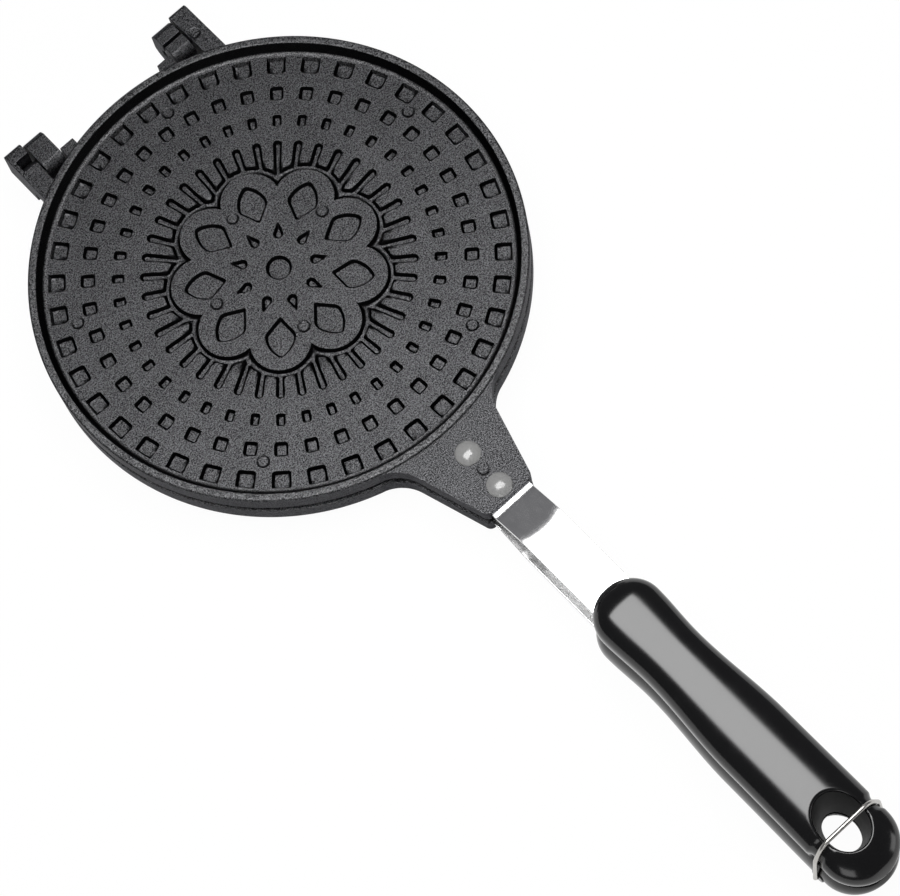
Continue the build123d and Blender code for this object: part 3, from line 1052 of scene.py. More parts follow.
    def _petal(self, out: Points, off: Points) -> Points:
        """Distance outside a petal: straight sides to its shoulders, then one arc on each side to its tip.

        Each arc is the circle through the shoulder, the middle point and the tip. The petal is what lies
        within both circles and both sides, with its corners blended round.

        Args:
            out: Places along the petal's middle line.
            off: Places off it.

        Returns:
            The distance, negative inside.
        """
        point, shoulder, tip = self.petal_radii
        half_width = self.petal_width / 2
        run = np.array([shoulder - point, half_width])
        run = run / np.hypot(*run)
        to_side = self._both_sides(off, run, (out - point) * run[1])
        middle = ((shoulder + tip) / 2, self.petal_middle_width / 2)
        places = np.array([(shoulder, half_width), middle, (tip, 0.0)])
        sums = (places**2).sum(axis=1)
        centre = np.linalg.solve(2.0 * (places[1:] - places[0]), sums[1:] - sums[0])
        radius = math.hypot(*(places[0] - centre))
        right, left = (np.hypot(out - centre[0], side * off - centre[1]) - radius for side in (1.0, -1.0))
        to_arc = smooth_most(right, left, self.corner_blend)
        return smooth_most(to_side, to_arc, self.corner_blend)

    def distance(self, across: Points, along: Points) -> Points:
        """Distance outside the nearest pocket of the whole pattern.

        Args:
            across: X of the points.
            along: Distance towards the handle.

        Returns:
            The distance, negative inside a pocket.
        """
        out, off = self._folded(across, along, self.column_half, self.column_half)
        nearest = np.full(np.shape(across), np.inf)
        rings = zip(self.ring_radii, self.ring_lengths, self.ring_widths, self.pocket_corners)
        for radius, length, width, corner in rings:
            far_x = np.abs(out - radius) - length / 2 + corner
            far_y = np.abs(off) - width / 2 + corner
            box = np.hypot(np.maximum(far_x, 0), np.maximum(far_y, 0))
            nearest = np.minimum(nearest, box + np.minimum(np.maximum(far_x, far_y), 0) - corner)
        root, tip = self.slot_half_widths
        end = self.slot_tip - tip
        half_width = root + (tip - root) * np.clip((out - self.slot_root) / (end - self.slot_root), 0, 1)
        slot = np.hypot(np.maximum(out - end, 0), off) - half_width
        out, off = self._folded(across, along, self.petal_half, 0.0)
        moat = -smooth_most(-self._lobed(out, off, self.moat_outer), -slot, self.corner_blend)
        moat = np.maximum(moat, -self._lobed(out, off, self.moat_inner))
        nearest = np.minimum(nearest, moat)
        nearest = np.minimum(nearest, self._petal(out, off))
        out, off = self._folded(across, along, self.petal_half, self.petal_half)
        root, shoulder, tip = self.drop_radii
        nearest = np.minimum(nearest, self._leaf(out, off, tip, shoulder, root, self.drop_width / 2))
        return np.minimum(nearest, np.hypot(across, along) - self.centre_radius)

    def height(self, across: Points, along: Points) -> Points:
        """The field's height: its level, less an S-curve into each pocket across the pocket's wall."""
        share = (self.edge_outside - self.distance(across, along)) / (self.edge_outside + self.edge_inside)
        return self.field_level - self.pocket_depth * smooth_step(share)

    def _sheet(self, patchwork: Patchwork, angles: Points, radii: Points, drop: float = 0.0) -> None:
        """Adds the field over a grid of angles from the handle and radii, with normals from its slopes.

        Args:
            patchwork: Where the sheet goes.
            angles: Angles, for each row and column.
            radii: Radii, the same way.
            drop: How far the sheet is let down, where it runs under its neighbour.
        """
        across, along = radii * np.sin(angles), radii * np.cos(angles)
        step = 0.02
        level = self.height(across, along) - drop
        slope_x = (self.height(across + step, along) - self.height(across - step, along)) / (2 * step)
        slope_v = (self.height(across, along + step) - self.height(across, along - step)) / (2 * step)
        normals = np.stack([-slope_x, slope_v, np.ones_like(level)], axis=2)
        normals /= np.linalg.norm(normals, axis=2, keepdims=True)
        patchwork.grid(np.stack([across, -along, level], axis=2), wrap=True, normals=normals)

    def _column_angles(self, radii: Points, half_widths: Points) -> Points:
        """Angles that keep to the pockets' side walls in every column.

        In each row the lines stand off the column's middle by the pocket's half width and each wall
        offset, so they go by asin((half width + offset) / radius), with a few more on floor and land.

        Args:
            radii: Each row's radius.
            half_widths: Each row's pocket half width.

        Returns:
            The angles, for each row and column.
        """
        walls = np.array(self.wall_lines[::-1])
        radii, half_widths = radii[:, None], half_widths[:, None]
        room = np.minimum(1.0, self.floor_room * half_widths / -walls.min())
        wall = np.arcsin((half_widths + np.where(walls < 0.0, walls * room, walls)) / radii)
        floor = wall[:, :1] * np.array([0.0, 0.5])
        land = wall[:, -1:] + (self.column_half - wall[:, -1:]) * np.array([0.5])
        half = np.concatenate([floor, wall, land], axis=1)
        whole = np.concatenate([-half[:, :0:-1], half, np.full_like(radii, self.column_half)], axis=1)
        starts = (2 * np.arange(self.columns) + 1) * self.column_half
        return (whole[:, None, :] + starts[None, :, None]).reshape(len(radii), -1)

    def _ring_rows(self) -> tuple[Points, Points]:
        """The rows from the field's edge to the slots.

        Returns:
            Each row's radius, and half the pockets' width there.
        """
        radii, half_widths = [self.field_radius], [self.ring_widths[0] / 2]
        walls = np.array(self.wall_lines)
        for radius, length, width in zip(self.ring_radii, self.ring_lengths, self.ring_widths):
            outer, inner = radius + length / 2, radius - length / 2
            rows = np.concatenate([outer + walls, [radius], inner - walls[::-1]])
            radii += rows.tolist()
            half_widths += [width / 2] * len(rows)
        return np.array(radii), np.array(half_widths)

    def field_sheet(self, patchwork: Patchwork) -> None:
        """Adds the field from the rim to the middle of the moat's floor.

        Args:
            patchwork: Where the field goes.
        """
        root, tip = self.slot_half_widths
        end = self.slot_tip - tip
        beyond, before = self.slot_tip_margins
        radii, half_widths = self._ring_rows()
        tips = np.linspace(self.slot_tip + beyond, end - before, self.slot_tip_rows)
        radii = np.concatenate([radii, [self.slots_end], tips, self.slot_rows])
        half_widths = np.concatenate([half_widths, np.full(len(radii) - len(half_widths), tip)])
        taper = root + (tip - root) * (radii - self.slot_root) / (end - self.slot_root)
        half_widths = np.where(radii < end, taper, half_widths)
        angles = self._column_angles(radii, half_widths)
        circles = np.broadcast_to(radii[:, None], angles.shape)
        mouth = np.full(1, root + self.slot_mouth_margin)
        inner = self._column_angles(np.full(1, self.moat_outer[1]), mouth)
        lobes = self.lobed_radius(inner, self.moat_outer)
        walls = np.array(self.wall_lines)[:, None]
        floor = (lobes + self.lobed_radius(inner, self.moat_inner)) / 2
        rows = np.concatenate([lobes + walls, floor])
        angles = np.concatenate([angles, np.repeat(inner, len(rows), axis=0)])
        self._sheet(patchwork, angles, np.concatenate([circles, rows]))

    def flower_sheet(self, patchwork: Patchwork, lines: int = 648, rows: int = 90,
                     drop: float = 0.004) -> None:
        """Adds the moat's inner wall and the flower, down to the circle round the drops.

        Args:
            patchwork: Where the flower goes.
            lines: How many lines run out from the middle.
            rows: How many rows there are inside the moat's wall.
            drop: How far the flower lies under the field that it runs under.
        """
        angles = full_turn(lines)[None]
        lobes = self.lobed_radius(angles, self.moat_inner)
        middle = (lobes + self.lobed_radius(angles, self.moat_outer)) / 2
        walls = np.array(self.wall_lines[::-1])[:, None]
        shares = np.linspace(0.0, 1.0, rows)[1:, None]
        inside = lobes - self.wall_lines[0]
        petals = inside + (self.heart_radius - inside) * shares
        radii = np.concatenate([middle + self.overlap, lobes - walls, petals])
        self._sheet(patchwork, np.repeat(angles, len(radii), axis=0), radii, drop)

    def heart_sheet(self, patchwork: Patchwork, lines: int = 432, rows: int = 64,
                    drop: float = 0.008) -> None:
        """Adds the drops and the round pocket in the middle, closed at the pole.

        Args:
            patchwork: Where the drops go.
            lines: How many lines run out from the middle.
            rows: How many rows there are as far as the round pocket's wall.
            drop: How far the drops lie under the flower that they run under.
        """
        angles = full_turn(lines)[None]
        shore = np.array(self.wall_lines) + self.centre_radius
        outer = np.linspace(self.heart_radius + self.overlap, shore[0], rows)[:-1]
        radii = np.concatenate([outer, shore, [self.centre_radius / 2, self.pole]])[:, None]
        self._sheet(patchwork, np.repeat(angles, len(radii), axis=0), np.repeat(radii, lines, axis=1), drop)


@dataclass(frozen=True)
class Plate:
    """One casting: the rimmed dish, the relief, the neck for the strap and the hinge lugs."""

    half: Half
    radius: float = 97.7
    outer_face: float = 9.35
    inner_face: float = 0.15
    rim_width: float = 3.15
    rim_draft: float = 2.1
    rim_bevel: float = 0.6
    rim_fillet: float = 1.6
    rim_lines: int = 360
    under_places: tuple[float, float] = (3.0, 1.7)
    under_gap: float = 0.005
    under_bends: tuple[float, float] = (0.1, 0.1)
    rim_bends: tuple[float, float, float] = (0.55, 0.4, 0.4)
    seam_bends: tuple[float, float, float] = (0.35, 0.2, 0.2)
    cooking_bends: tuple[float, float] = (0.3, 0.4)
    seam_slope: float = 0.25
    seam_bevel: float = 1.0
    seam_height: float = 1.6
    neck_seam_height: float = 2.2
    neck_seam_slope: float = 0.2
    seam_depth: float = 3.0
    field_level: float = 4.25
    cooking_radius: float = 92.5
    cooking_depth: float = 0.9
    cooking_draft: float = 0.9
    backing: float = 2.6
    neck_end: float = 133.0
    neck_root: float = 94.8
    neck_half_widths: tuple[float, float] = (11.3, 22.6)
    neck_face: float = 8.55
    neck_root_fillet: float = 16.0
    neck_corner: float = 2.6
    neck_edge: float = 1.1
    root_points: int = 14
    corner_points: int = 8
    inner_points: int = 24
    pocket_half_width: float = 9.7
    pocket_start: float = 101.7
    pocket_top: float = 6.15
    pocket_overrun: float = 5.0
    hinge_distance: float = 103.0
    knuckle_height: float = 8.8
    channel_radius: float = 2.8
    seat_points: int = 36
    pin_slit_width: float = 1.2
    lug_edge: float = 1.4
    end_wall: float = 2.0
    ledge: tuple[float, float] = (22.2, 28.8)
    ledge_reach: float = 99.0
    ledge_top: float = 6.95
    overrun: float = 3.0
    relief: Relief = field(default_factory=Relief)

    @property
    def lug_span(self) -> tuple[float, float]:
        """Where this half's lugs start and end, from the middle."""
        return (39.2, 47.4) if self.half is Half.UPPER else (29.3, 38.6)

    @property
    def lug_heel(self) -> float:
        """How far this half's lugs reach past the mating plane."""
        return 6.3 if self.half is Half.UPPER else 8.1

    @property
    def lug_corner_reach(self) -> float:
        """How far the round corners of this half's lugs are from the pin's middle."""
        return 11.4 if self.half is Half.UPPER else 9.6

    def _dish_profile(self) -> Points:
        """The dish's section, from under the relief over the rim to the cooking face's middle.

        Returns:
            Radii and heights, one point a row.
        """
        rim_inner = self.radius - self.rim_width
        foot = rim_inner - self.rim_draft
        deep_end, shallow_start = self.under_places
        under, shallow = self.field_level - self.backing, self.field_level - self.under_gap
        corners = [
            (0.0, under),
            (foot - deep_end, under),
            (foot - shallow_start, shallow),
            (foot, shallow),
            (rim_inner, self.outer_face),
            (self.radius - self.rim_bevel, self.outer_face),
            (self.radius, self.outer_face - self.rim_bevel),
            (self.radius, self.inner_face + self.seam_height),
            (self.radius - self.seam_depth, self.inner_face + self.seam_height - self.seam_slope),
            (self.radius - self.seam_depth, self.inner_face),
            (self.cooking_radius + self.cooking_draft, self.inner_face),
            (self.cooking_radius, self.inner_face + self.cooking_depth),
            (0.0, self.inner_face + self.cooking_depth),
        ]
        bends = [*self.under_bends, self.rim_fillet, *self.rim_bends, *self.seam_bends, *self.cooking_bends]
        return rounded_path(corners, bends, count=7)

    def neck_outline(self, inset: float = 0.0) -> Points:
        """The neck's plan: the tongue's sides, tangent arcs into the round rim, and round end corners.

        The root arc's centre is as far from the plate's middle as both radii together, and its own
        radius off the tongue's side, which gives a quadratic for its place along that side.

        Args:
            inset: How far the outline is drawn in from the neck's own.

        Returns:
            The outline, with the same count of points at any inset.
        """
        end, root = self.neck_half_widths
        corner = np.array([end - inset, self.neck_end - inset])
        run = np.array([root - inset, self.neck_root]) - corner
        run = run / np.hypot(*run)
        outward = np.array([-run[1], run[0]])
        start = corner + self.neck_root_fillet * outward
        reach = self.radius - inset + self.neck_root_fillet
        along = -(start @ run) - math.sqrt((start @ run) ** 2 - start @ start + reach**2)
        centre = start + along * run
        on_rim = np.degrees(math.atan2(-centre[1], -centre[0]))
        on_side = np.degrees(math.atan2(-outward[1], -outward[0]))
        flank = arc(centre, self.neck_root_fillet, on_rim, on_side, self.root_points)
        corners = [flank[-1], corner, (0.0, self.neck_end)]
        side = rounded_path(corners, [self.neck_corner], self.corner_points)[1:-1]
        right = np.concatenate([flank, side])
        mirrored = right[::-1] * (-1.0, 1.0)
        inner_radius = self.radius - self.rim_width / 2
        spread = math.degrees(math.atan2(right[0][0], right[0][1]))
        inner = arc((0.0, 0.0), inner_radius, 90.0 + spread, 90.0 - spread, self.inner_points)
        return np.concatenate([right, mirrored, inner])

    def _neck_mesh(self) -> bpy.types.Mesh:
        """The neck, stepped in at the seam, with the strap's pocket cut into its mating side.

        Returns:
            The neck's mesh.
        """
        body = Patchwork()
        wide, narrow = self.neck_outline(), self.neck_outline(self.seam_depth)
        step = self.inner_face + self.neck_seam_height
        rows = [
            along_height(narrow, self.inner_face),
            along_height(narrow, step - self.neck_seam_slope),
            along_height(wide, step),
            along_height(wide, self.neck_face),
        ]
        body.grid(np.stack(rows), wrap=True)
        body.cap(rows[0][::-1])
        body.cap(rows[-1])
        width, start, reach = self.pocket_half_width, self.pocket_start, self.neck_end + self.pocket_overrun
        room = np.array([(-width, start), (width, start), (width, reach), (-width, reach)])
        pocket = Patchwork()
        pocket.prism(room, along_height, (-self.overrun, self.pocket_top))
        return cut_out(body.mesh("neck", self.half), [pocket.mesh("pocket", self.half)])

    def _lug_profile(self) -> Points:
        """A lug's side view: an arm from the rim and a square head about the pin, with rounded corners.

        Returns:
            The outline, as distances towards the handle and heights.
        """
        _, end = self.lug_span
        root = math.sqrt(self.radius**2 - end**2) - self.rim_width
        centre = (self.hinge_distance, 0.0)
        size, heel, reach = self.knuckle_height, self.lug_heel, self.lug_corner_reach
        start = math.degrees(math.acos(size / reach))
        if math.hypot(size, heel) < reach:
            below = np.array([(self.hinge_distance + size, -heel)])
        else:
            low = -math.degrees(math.asin(heel / reach))
            below = arc(centre, reach, low, -start, self.corner_points)
        above = arc(centre, reach, start, 90.0 - start, self.corner_points)
        inner = below[::-1] * (-1.0, 1.0) + (2.0 * self.hinge_distance, 0.0)
        arm = np.array([
            (root, size),
            (root, self.inner_face),
            (self.hinge_distance - size, self.inner_face),
        ])
        return np.concatenate([below, above, arm, inner]) * (-1.0, 1.0)

    def _channel_profile(self, opening: Opening, mouth_width: float) -> Points:
        """The pin channel's side view: a round seat with a straight mouth on one side.

        Args:
            opening: The side that the mouth is on.
            mouth_width: How wide the mouth is.

        Returns:
            The outline, as distances towards the handle and heights.
        """
        half = mouth_width / 2
        lip = math.degrees(math.acos(half / self.channel_radius))
        seat = arc((0.0, 0.0), self.channel_radius, lip, -180.0 - lip, self.seat_points)
        height = self.knuckle_height + self.overrun
        mouth = np.array([(-half, height), (half, height)])
        return np.concatenate([seat, mouth]) * (-1.0, opening.value) + (-self.hinge_distance, 0.0)

    def _channel(self, side: Side) -> bpy.types.Mesh:
        """The room for a pin: the upper half's channels stop at an end wall, the lower half's run through.

        Args:
            side: Which of the two pins it is for.

        Returns:
            The room as a closed mesh.
        """
        start, end = self.lug_span
        upper = self.half is Half.UPPER
        opening = Opening.OUTWARD if side is Side.LEFT else Opening.MATING
        slit = side is Side.RIGHT and not upper
        stop = end - self.end_wall if upper else end + self.overrun
        profile = self._channel_profile(opening, self.pin_slit_width if slit else 2.0 * self.channel_radius)
        room = Patchwork()
        room.prism(profile, along_x, (side.value * (start - self.overrun), side.value * stop))
        return room.mesh("pin_channel", self.half)

    def _lugs(self) -> bpy.types.Mesh:
        """Both lugs of this half, and on the upper half the ledges beside them, cut free of the field.

        Returns:
            The lugs' mesh.
        """
        solid = Patchwork()
        start, end = self.lug_span
        for side in Side:
            solid.prism(self._lug_profile(), along_x, (side.value * start, side.value * end))
            if self.half is Half.UPPER:
                near, far = self.ledge
                low, top = self.inner_face + self.seam_bevel, self.ledge_top
                reach, root = self.ledge_reach, self.ledge_reach - self.ledge[1] / 2
                block = np.array([(root, low), (reach, low), (reach, top), (root, top)])
                solid.prism(block * (-1.0, 1.0), along_x, (side.value * near, side.value * far))
        inner_radius, height = self.radius - self.rim_width / 2, self.radius
        well = Patchwork()
        section = np.array([(0.0, -height), (inner_radius, -height), (inner_radius, height), (0.0, height)])
        well.grid(turned(section, (0.0, 0.0), self.rim_lines), wrap=True)
        cutters = [self._channel(side) for side in Side] + [well.mesh("well", self.half)]
        return cut_out(solid.mesh("lugs", self.half), cutters)

    def _place(self, mesh: bpy.types.Mesh, name: str, finish: bpy.types.Material) -> bpy.types.Object:
        """Puts one of the casting's meshes on this half, in place of the CAD plate."""
        node = self.half.node("plate")
        return to_object(mesh, self.half.node(name), self.half.body, [node], finish)

    def dress(self, rim: bpy.types.Material, plain: bpy.types.Material, marked: bpy.types.Material) -> None:
        """Builds the casting's pieces and puts them on this half.

        Args:
            rim: The coating of the dish, painted a little brighter as light on its rim and side walls, with
                painted shade on its inner wall.
            plain: The coating of the neck and lugs.
            marked: The coating of the relief, with the ejector pins' marks and painted shade on the pockets'
                walls.
        """
        dish = Patchwork()
        dish.grid(turned(self._dish_profile(), (0.0, 0.0), self.rim_lines), wrap=True)
        self._place(dish.mesh("dish", self.half, sharp=30.0), "dish", rim)
        round_edges(self._place(self._neck_mesh(), "neck", plain), self.neck_edge)
        round_edges(self._place(self._lugs(), "hinge_lugs", plain), self.lug_edge)
        ground = Patchwork()
        self.relief.field_sheet(ground)
        self._place(ground.mesh("relief_field", self.half, closed=False), "relief_field", marked)
        flower = Patchwork()
        self.relief.flower_sheet(flower)
        self.relief.heart_sheet(flower)
        self._place(flower.mesh("relief_flower", self.half, closed=False), "relief_flower", marked)


@dataclass(frozen=True)
class HingePins:
    """The two plain pins that join the lugs."""

    radius: float = 2.75
    start: float = 30.0
    end: float = 45.3
    chamfer: float = 0.4
    hinge_distance: float = 103.0
    lines: int = 48

    def dress(self, finish: bpy.types.Material) -> None:
        """Builds both pins: a chamfered profile turned round the hinge's axis.

        Args:
            finish: The pins' steel.
        """
        near, far, cut = self.start, self.end, self.chamfer
        places = [near, near, near + cut, far - cut, far, far]
        radii = [0.0, self.radius - cut, self.radius, self.radius, self.radius - cut, 0.0]
        profile = np.column_stack([places, radii])
        centre = (self.hinge_distance, 0.0)
        for side in Side:
            pin = Patchwork()
            pin.grid(turned_across(profile * (side.value, 1.0), centre, self.lines), wrap=True)
            name = f"{side.name.lower()}_hinge_pin"
            mesh = pin.mesh(name, Half.UPPER, sharp=30.0)
            to_object(mesh, f"{name}_dressed", "base", [name], finish)


@dataclass(frozen=True)
class Strap:
    """A steel band from the neck's pocket into the grip, and the two rivets that hold it."""

    half: Half
    half_width: float = 9.5
    thickness: float = 1.6
    root: float = 101.5
    bend_start: float = 135.6
    bend_end: float = 149.2
    end: float = 261.0
    seat_level: float = 5.35
    grip_level: float = 9.7
    bend_radii: tuple[float, float] = (5.0, 16.0)
    edge: float = 0.35
    bow: float = 1.7
    bow_window: tuple[float, float] = (147.5, 10.0)
    columns: int = 24
    rivet_places: tuple[float, float] = (109.7, 127.2)
    neck_face: float = 8.55
    head_radius: float = 5.1
    head_height: float = 2.5
    head_edge: float = 0.5
    head_rounding: float = 0.25
    head_lip: float = 0.08
    dome_points: int = 14
    sink: float = 0.2
    tail_radius: float = 3.8
    tail_height: float = 0.8
    tail_bends: tuple[float, float] = (0.05, 0.35)
    rivet_lines: int = 64

    def _band(self) -> Points:
        """The band's side view: its middle line moved half its thickness to either side.

        Returns:
            The outline, as distances towards the handle and heights.
        """
        corners = [
            (self.root, self.seat_level),
            (self.bend_start, self.seat_level),
            (self.bend_end, self.grip_level),
            (self.end, self.grip_level),
        ]
        line = rounded_path(corners, self.bend_radii)
        run = np.gradient(line, axis=0)
        run /= np.linalg.norm(run, axis=1, keepdims=True)
        side = np.stack([-run[:, 1], run[:, 0]], axis=1) * self.thickness / 2
        return np.concatenate([line + side, (line - side)[::-1]])

    def _bowed(self, outline: Points) -> Points:
        """The side view carried across the band, its upper bend bowed towards the grip in the middle.

        At x the bend is moved along by b (1 - (x/w)^2), times a bell about the window's middle.

        Args:
            outline: The side view.

        Returns:
            The side view's points in space, one copy a row.
        """
        across = np.linspace(-self.half_width, self.half_width, self.columns + 1)[:, None]
        middle, spread = self.bow_window
        bell = smooth_step(1.0 - np.abs(outline[:, 0] - middle) / spread)
        shift = self.bow * (1.0 - (across / self.half_width) ** 2) * bell[None]
        along = outline[None, :, 0] + shift
        height = np.broadcast_to(outline[None, :, 1], along.shape)
        return np.stack([np.broadcast_to(across, along.shape), -along, height], axis=2)

    def _rivet(self, place: float, name: str) -> bpy.types.Mesh:
        """A rivet: a dome of one sphere over a short edge, and a flat tail on the strap.

        Args:
            place: How far along the strap it is.
            name: The mesh's name.

        Returns:
            The rivet's mesh.
        """
        rise = self.head_height - self.head_edge
        sphere = (self.head_radius**2 + rise**2) / (2.0 * rise)
        radii = np.linspace(0.0, self.head_radius - self.head_rounding, self.dome_points)
        dome = self.neck_face + self.head_edge + rise - sphere + np.sqrt(sphere**2 - radii**2)
        foot = np.array([
            (self.head_radius - self.head_lip, self.neck_face + self.head_edge),
            (self.head_radius, self.neck_face + self.head_edge / 2),
            (self.head_radius, self.neck_face - self.sink),
            (0.0, self.neck_face - self.sink),
        ])
        head = np.concatenate([np.stack([radii, dome], axis=1), foot])
        seat = self.seat_level - self.thickness / 2
        inner, outer = seat + self.sink, seat - self.tail_height
        corners = [(0.0, inner), (self.tail_radius, inner), (self.tail_radius, outer), (0.0, outer)]
        tail = rounded_path(corners, self.tail_bends, count=5)
        rivet = Patchwork()
        for profile in (head, tail):
            rivet.grid(turned(profile, (0.0, -place), self.rivet_lines), wrap=True)
        return rivet.mesh(name, self.half, sharp=50.0)

    def dress(self, steel: bpy.types.Material, rivet_metal: bpy.types.Material) -> None:
        """Builds the strap and its rivets on this half.

        Args:
            steel: The strap's finish.
            rivet_metal: The rivets' finish.
        """
        band = Patchwork()
        rows = self._bowed(self._band())
        band.grid(rows, wrap=True)
        band.cap(rows[0][::-1])
        band.cap(rows[-1])
        mesh = band.mesh("strap", self.half)
        node = self.half.node("strap")
        piece = to_object(mesh, f"{node}_dressed", self.half.body, [node], steel)
        round_edges(piece, self.edge, angle=50.0)
        for which, place in zip(("front_rivet", "rear_rivet"), self.rivet_places):
            node = self.half.node(which)
            mesh = self._rivet(place, node)
            to_object(mesh, f"{node}_dressed", self.half.body, [node], rivet_metal)


@dataclass(frozen=True)
class Grip:
    """A moulded grip: domed outside, flat on its mating side, with the hanging hole through its tail."""

    half: Half
    nose: float = 185.0
    tip: float = 330.2
    level: float = 9.7
    face_gap: float = 0.4
    half_widths: tuple[float, float, float, float] = (14.1, 13.05, 15.35, 15.6)
    waist: float = 221.0
    bulge: float = 264.0
    nose_rounding: float = 13.5
    nose_crown_rounding: float = 12.0
    tail_rounding: float = 15.0
    tip_closing: float = 2.4
    crown_height: float = 9.3
    waist_crown_height: float = 8.8
    fall_start: float = 296.0
    fall_height: float = 13.9
    cap_offset: float = 0.35
    corner_inset: float = 4.2
    dome_power: float = 2.2
    waist_dome_power: float = 2.5
    hole_place: float = 307.6
    hole_half_width: float = 6.0
    hole_half_length: float = 8.2
    hole_draft: float = 10.9
    hole_lip: float = 1.2
    block_half_length: float = 13.9
    groove_place: float = 309.4
    groove_half_length: float = 3.0
    groove_wall: float = 2.6
    groove_side_depth: float = 1.1
    groove_top_depth: float = 0.25
    groove_low: float = 5.05
    groove_lines: tuple[float, ...] = (-1.3, -0.9, -0.45, 0.0, 0.45, 0.9, 1.3)
    screw_place: float = 245.0
    screw_room: float = 3.7
    screw_depth: float = 4.22
    screw_overrun: float = 3.0
    screw_lines: int = 48
    boss_radius: float = 2.9
    boss_place: float = 311.4
    boss_level: float = 9.6
    boss_end: float = 16.0
    boss_chamfer: float = 0.3
    boss_root: float = 13.6
    boss_lines: int = 40
    dome_columns: int = 48
    block_columns: int = 20
    corner_columns: int = 12
    nose_rows: int = 16
    body_rows: int = 64
    hole_rows: int = 29
    tail_rows: int = 20
    lip_rows: int = 6
    wall_shares: tuple[float, ...] = (0.02, 0.08, 0.2, 0.35, 0.5, 0.65, 0.8, 0.92, 0.98)
    lining_gap: float = 0.03
    least_width: float = 1e-6

    def _half_width(self, place: Points) -> Points:
        """Half the grip's width: bulb at the nose, waist, palm bulge, nearly straight tail, round ends.

        Args:
            place: Places along the grip.

        Returns:
            Half the width at each place.
        """
        nose, waist, bulge, tail = self.half_widths
        width = between(place, self.nose + self.nose_rounding, self.waist, nose, waist)
        width = np.where(place > self.waist, between(place, self.waist, self.bulge, waist, bulge), width)
        width = np.where(place > self.bulge, between(place, self.bulge, self.tip, bulge, tail), width)
        nose_end = rounded_end(place - self.nose, self.nose_rounding)
        return width * (nose_end * rounded_end(self.tip - place, self.tail_rounding))

    def _levels(self, place: Points) -> tuple[Points, Points]:
        """The middle level and half the height of the sections, which close as quarter rounds at both ends.

        The crown falls towards the tip by f (1 - sqrt(1 - t^2)).

        Args:
            place: Places along the grip.

        Returns:
            Both for each place.
        """
        crown = between(place, self.nose, self.waist, self.crown_height, self.waist_crown_height)
        late = between(place, self.waist, self.bulge, self.waist_crown_height, self.crown_height)
        crown = np.where(place > self.waist, late, crown)
        fall_end = self.tip + self.cap_offset
        share = np.clip((place - self.fall_start) / (fall_end - self.fall_start), 0.0, 1.0)
        fall = self.fall_height * (1.0 - np.sqrt(1.0 - share**2))
        nose = rounded_end(place - self.nose, self.nose_crown_rounding)
        tail = rounded_end(self.tip - place, self.tail_rounding)
        low = self.level - (self.level - self.face_gap) * nose * (1.0 + tail) / 2.0
        high = self.level + crown * nose - fall
        closing = rounded_end(self.tip - place, self.tip_closing)
        return (high + low) / 2.0, (high - low) / 2.0 * closing

    def _power(self, place: Points) -> Points:
        """The section's power p at each place: flatter on top at the waist than at the bulge."""
        late = between(place, self.waist, self.bulge, self.waist_dome_power, self.dome_power)
        return np.where(place > self.waist, late, self.waist_dome_power)

    def _groove(self, place: Points) -> Points:
        """The bail's groove, with soft walls; the lower grip has none.

        Args:
            place: Places along the grip.

        Returns:
            1 in the groove and 0 off it.
        """
        if self.half is Half.LOWER:
            return np.zeros_like(np.asarray(place, float))
        off = np.abs(place - self.groove_place) - self.groove_half_length
        return smooth_step(0.5 - off / self.groove_wall)

    def _dome(self, across: Points, place: Points) -> Points:
        """The outer face's height over a point of the plan: middle + half height (1 - |x/w|^p)^(1/p).

        Args:
            across: X of the points.
            place: Their places along the grip.

        Returns:
            The height of each.
        """
        groove = self._groove(place)
        width = self._half_width(place) - self.groove_side_depth * groove
        middle, rise = self._levels(place)
        inside = np.clip(np.abs(across) / np.maximum(width, self.least_width), 0.0, 1.0)
        power = self._power(place)
        full = (1.0 - inside**power) ** (1.0 / power)
        return middle + (rise - self.groove_top_depth * groove) * full

    def _block_shares(self) -> Points:
        """Places across the hole's block, from one side to the other."""
        return np.linspace(-1.0, 1.0, self.block_columns + 1)

    def _stations(self) -> tuple[Points, int, int]:
        """Where the sections are, closer together at both ends, the groove and the hole.

        Returns:
            Their places, and the numbers of the two that bound the hole's block.
        """
        turn = np.linspace(0.0, np.pi / 2, self.nose_rows)
        nose = self.nose + self.nose_rounding * (1.0 - np.cos(turn))
        start = self.hole_place - self.block_half_length
        end = self.hole_place + self.block_half_length
        walls = [self.groove_place + side * self.groove_half_length + off
                 for side in (-1, 1) for off in self.groove_lines]
        inside = np.concatenate([np.linspace(start, end, self.hole_rows), walls])
        inside = np.unique(np.round(inside, 4))
        body = np.linspace(nose[-1], start, self.body_rows)[1:-1]
        turn = np.linspace(0.0, np.pi / 2, self.tail_rows)[1:]
        tail = self.tip - (self.tip - end) * (1.0 - np.sin(turn))
        places = np.concatenate([nose, body, inside, tail])
        first = len(nose) + len(body)
        return places, first, first + len(inside) - 1

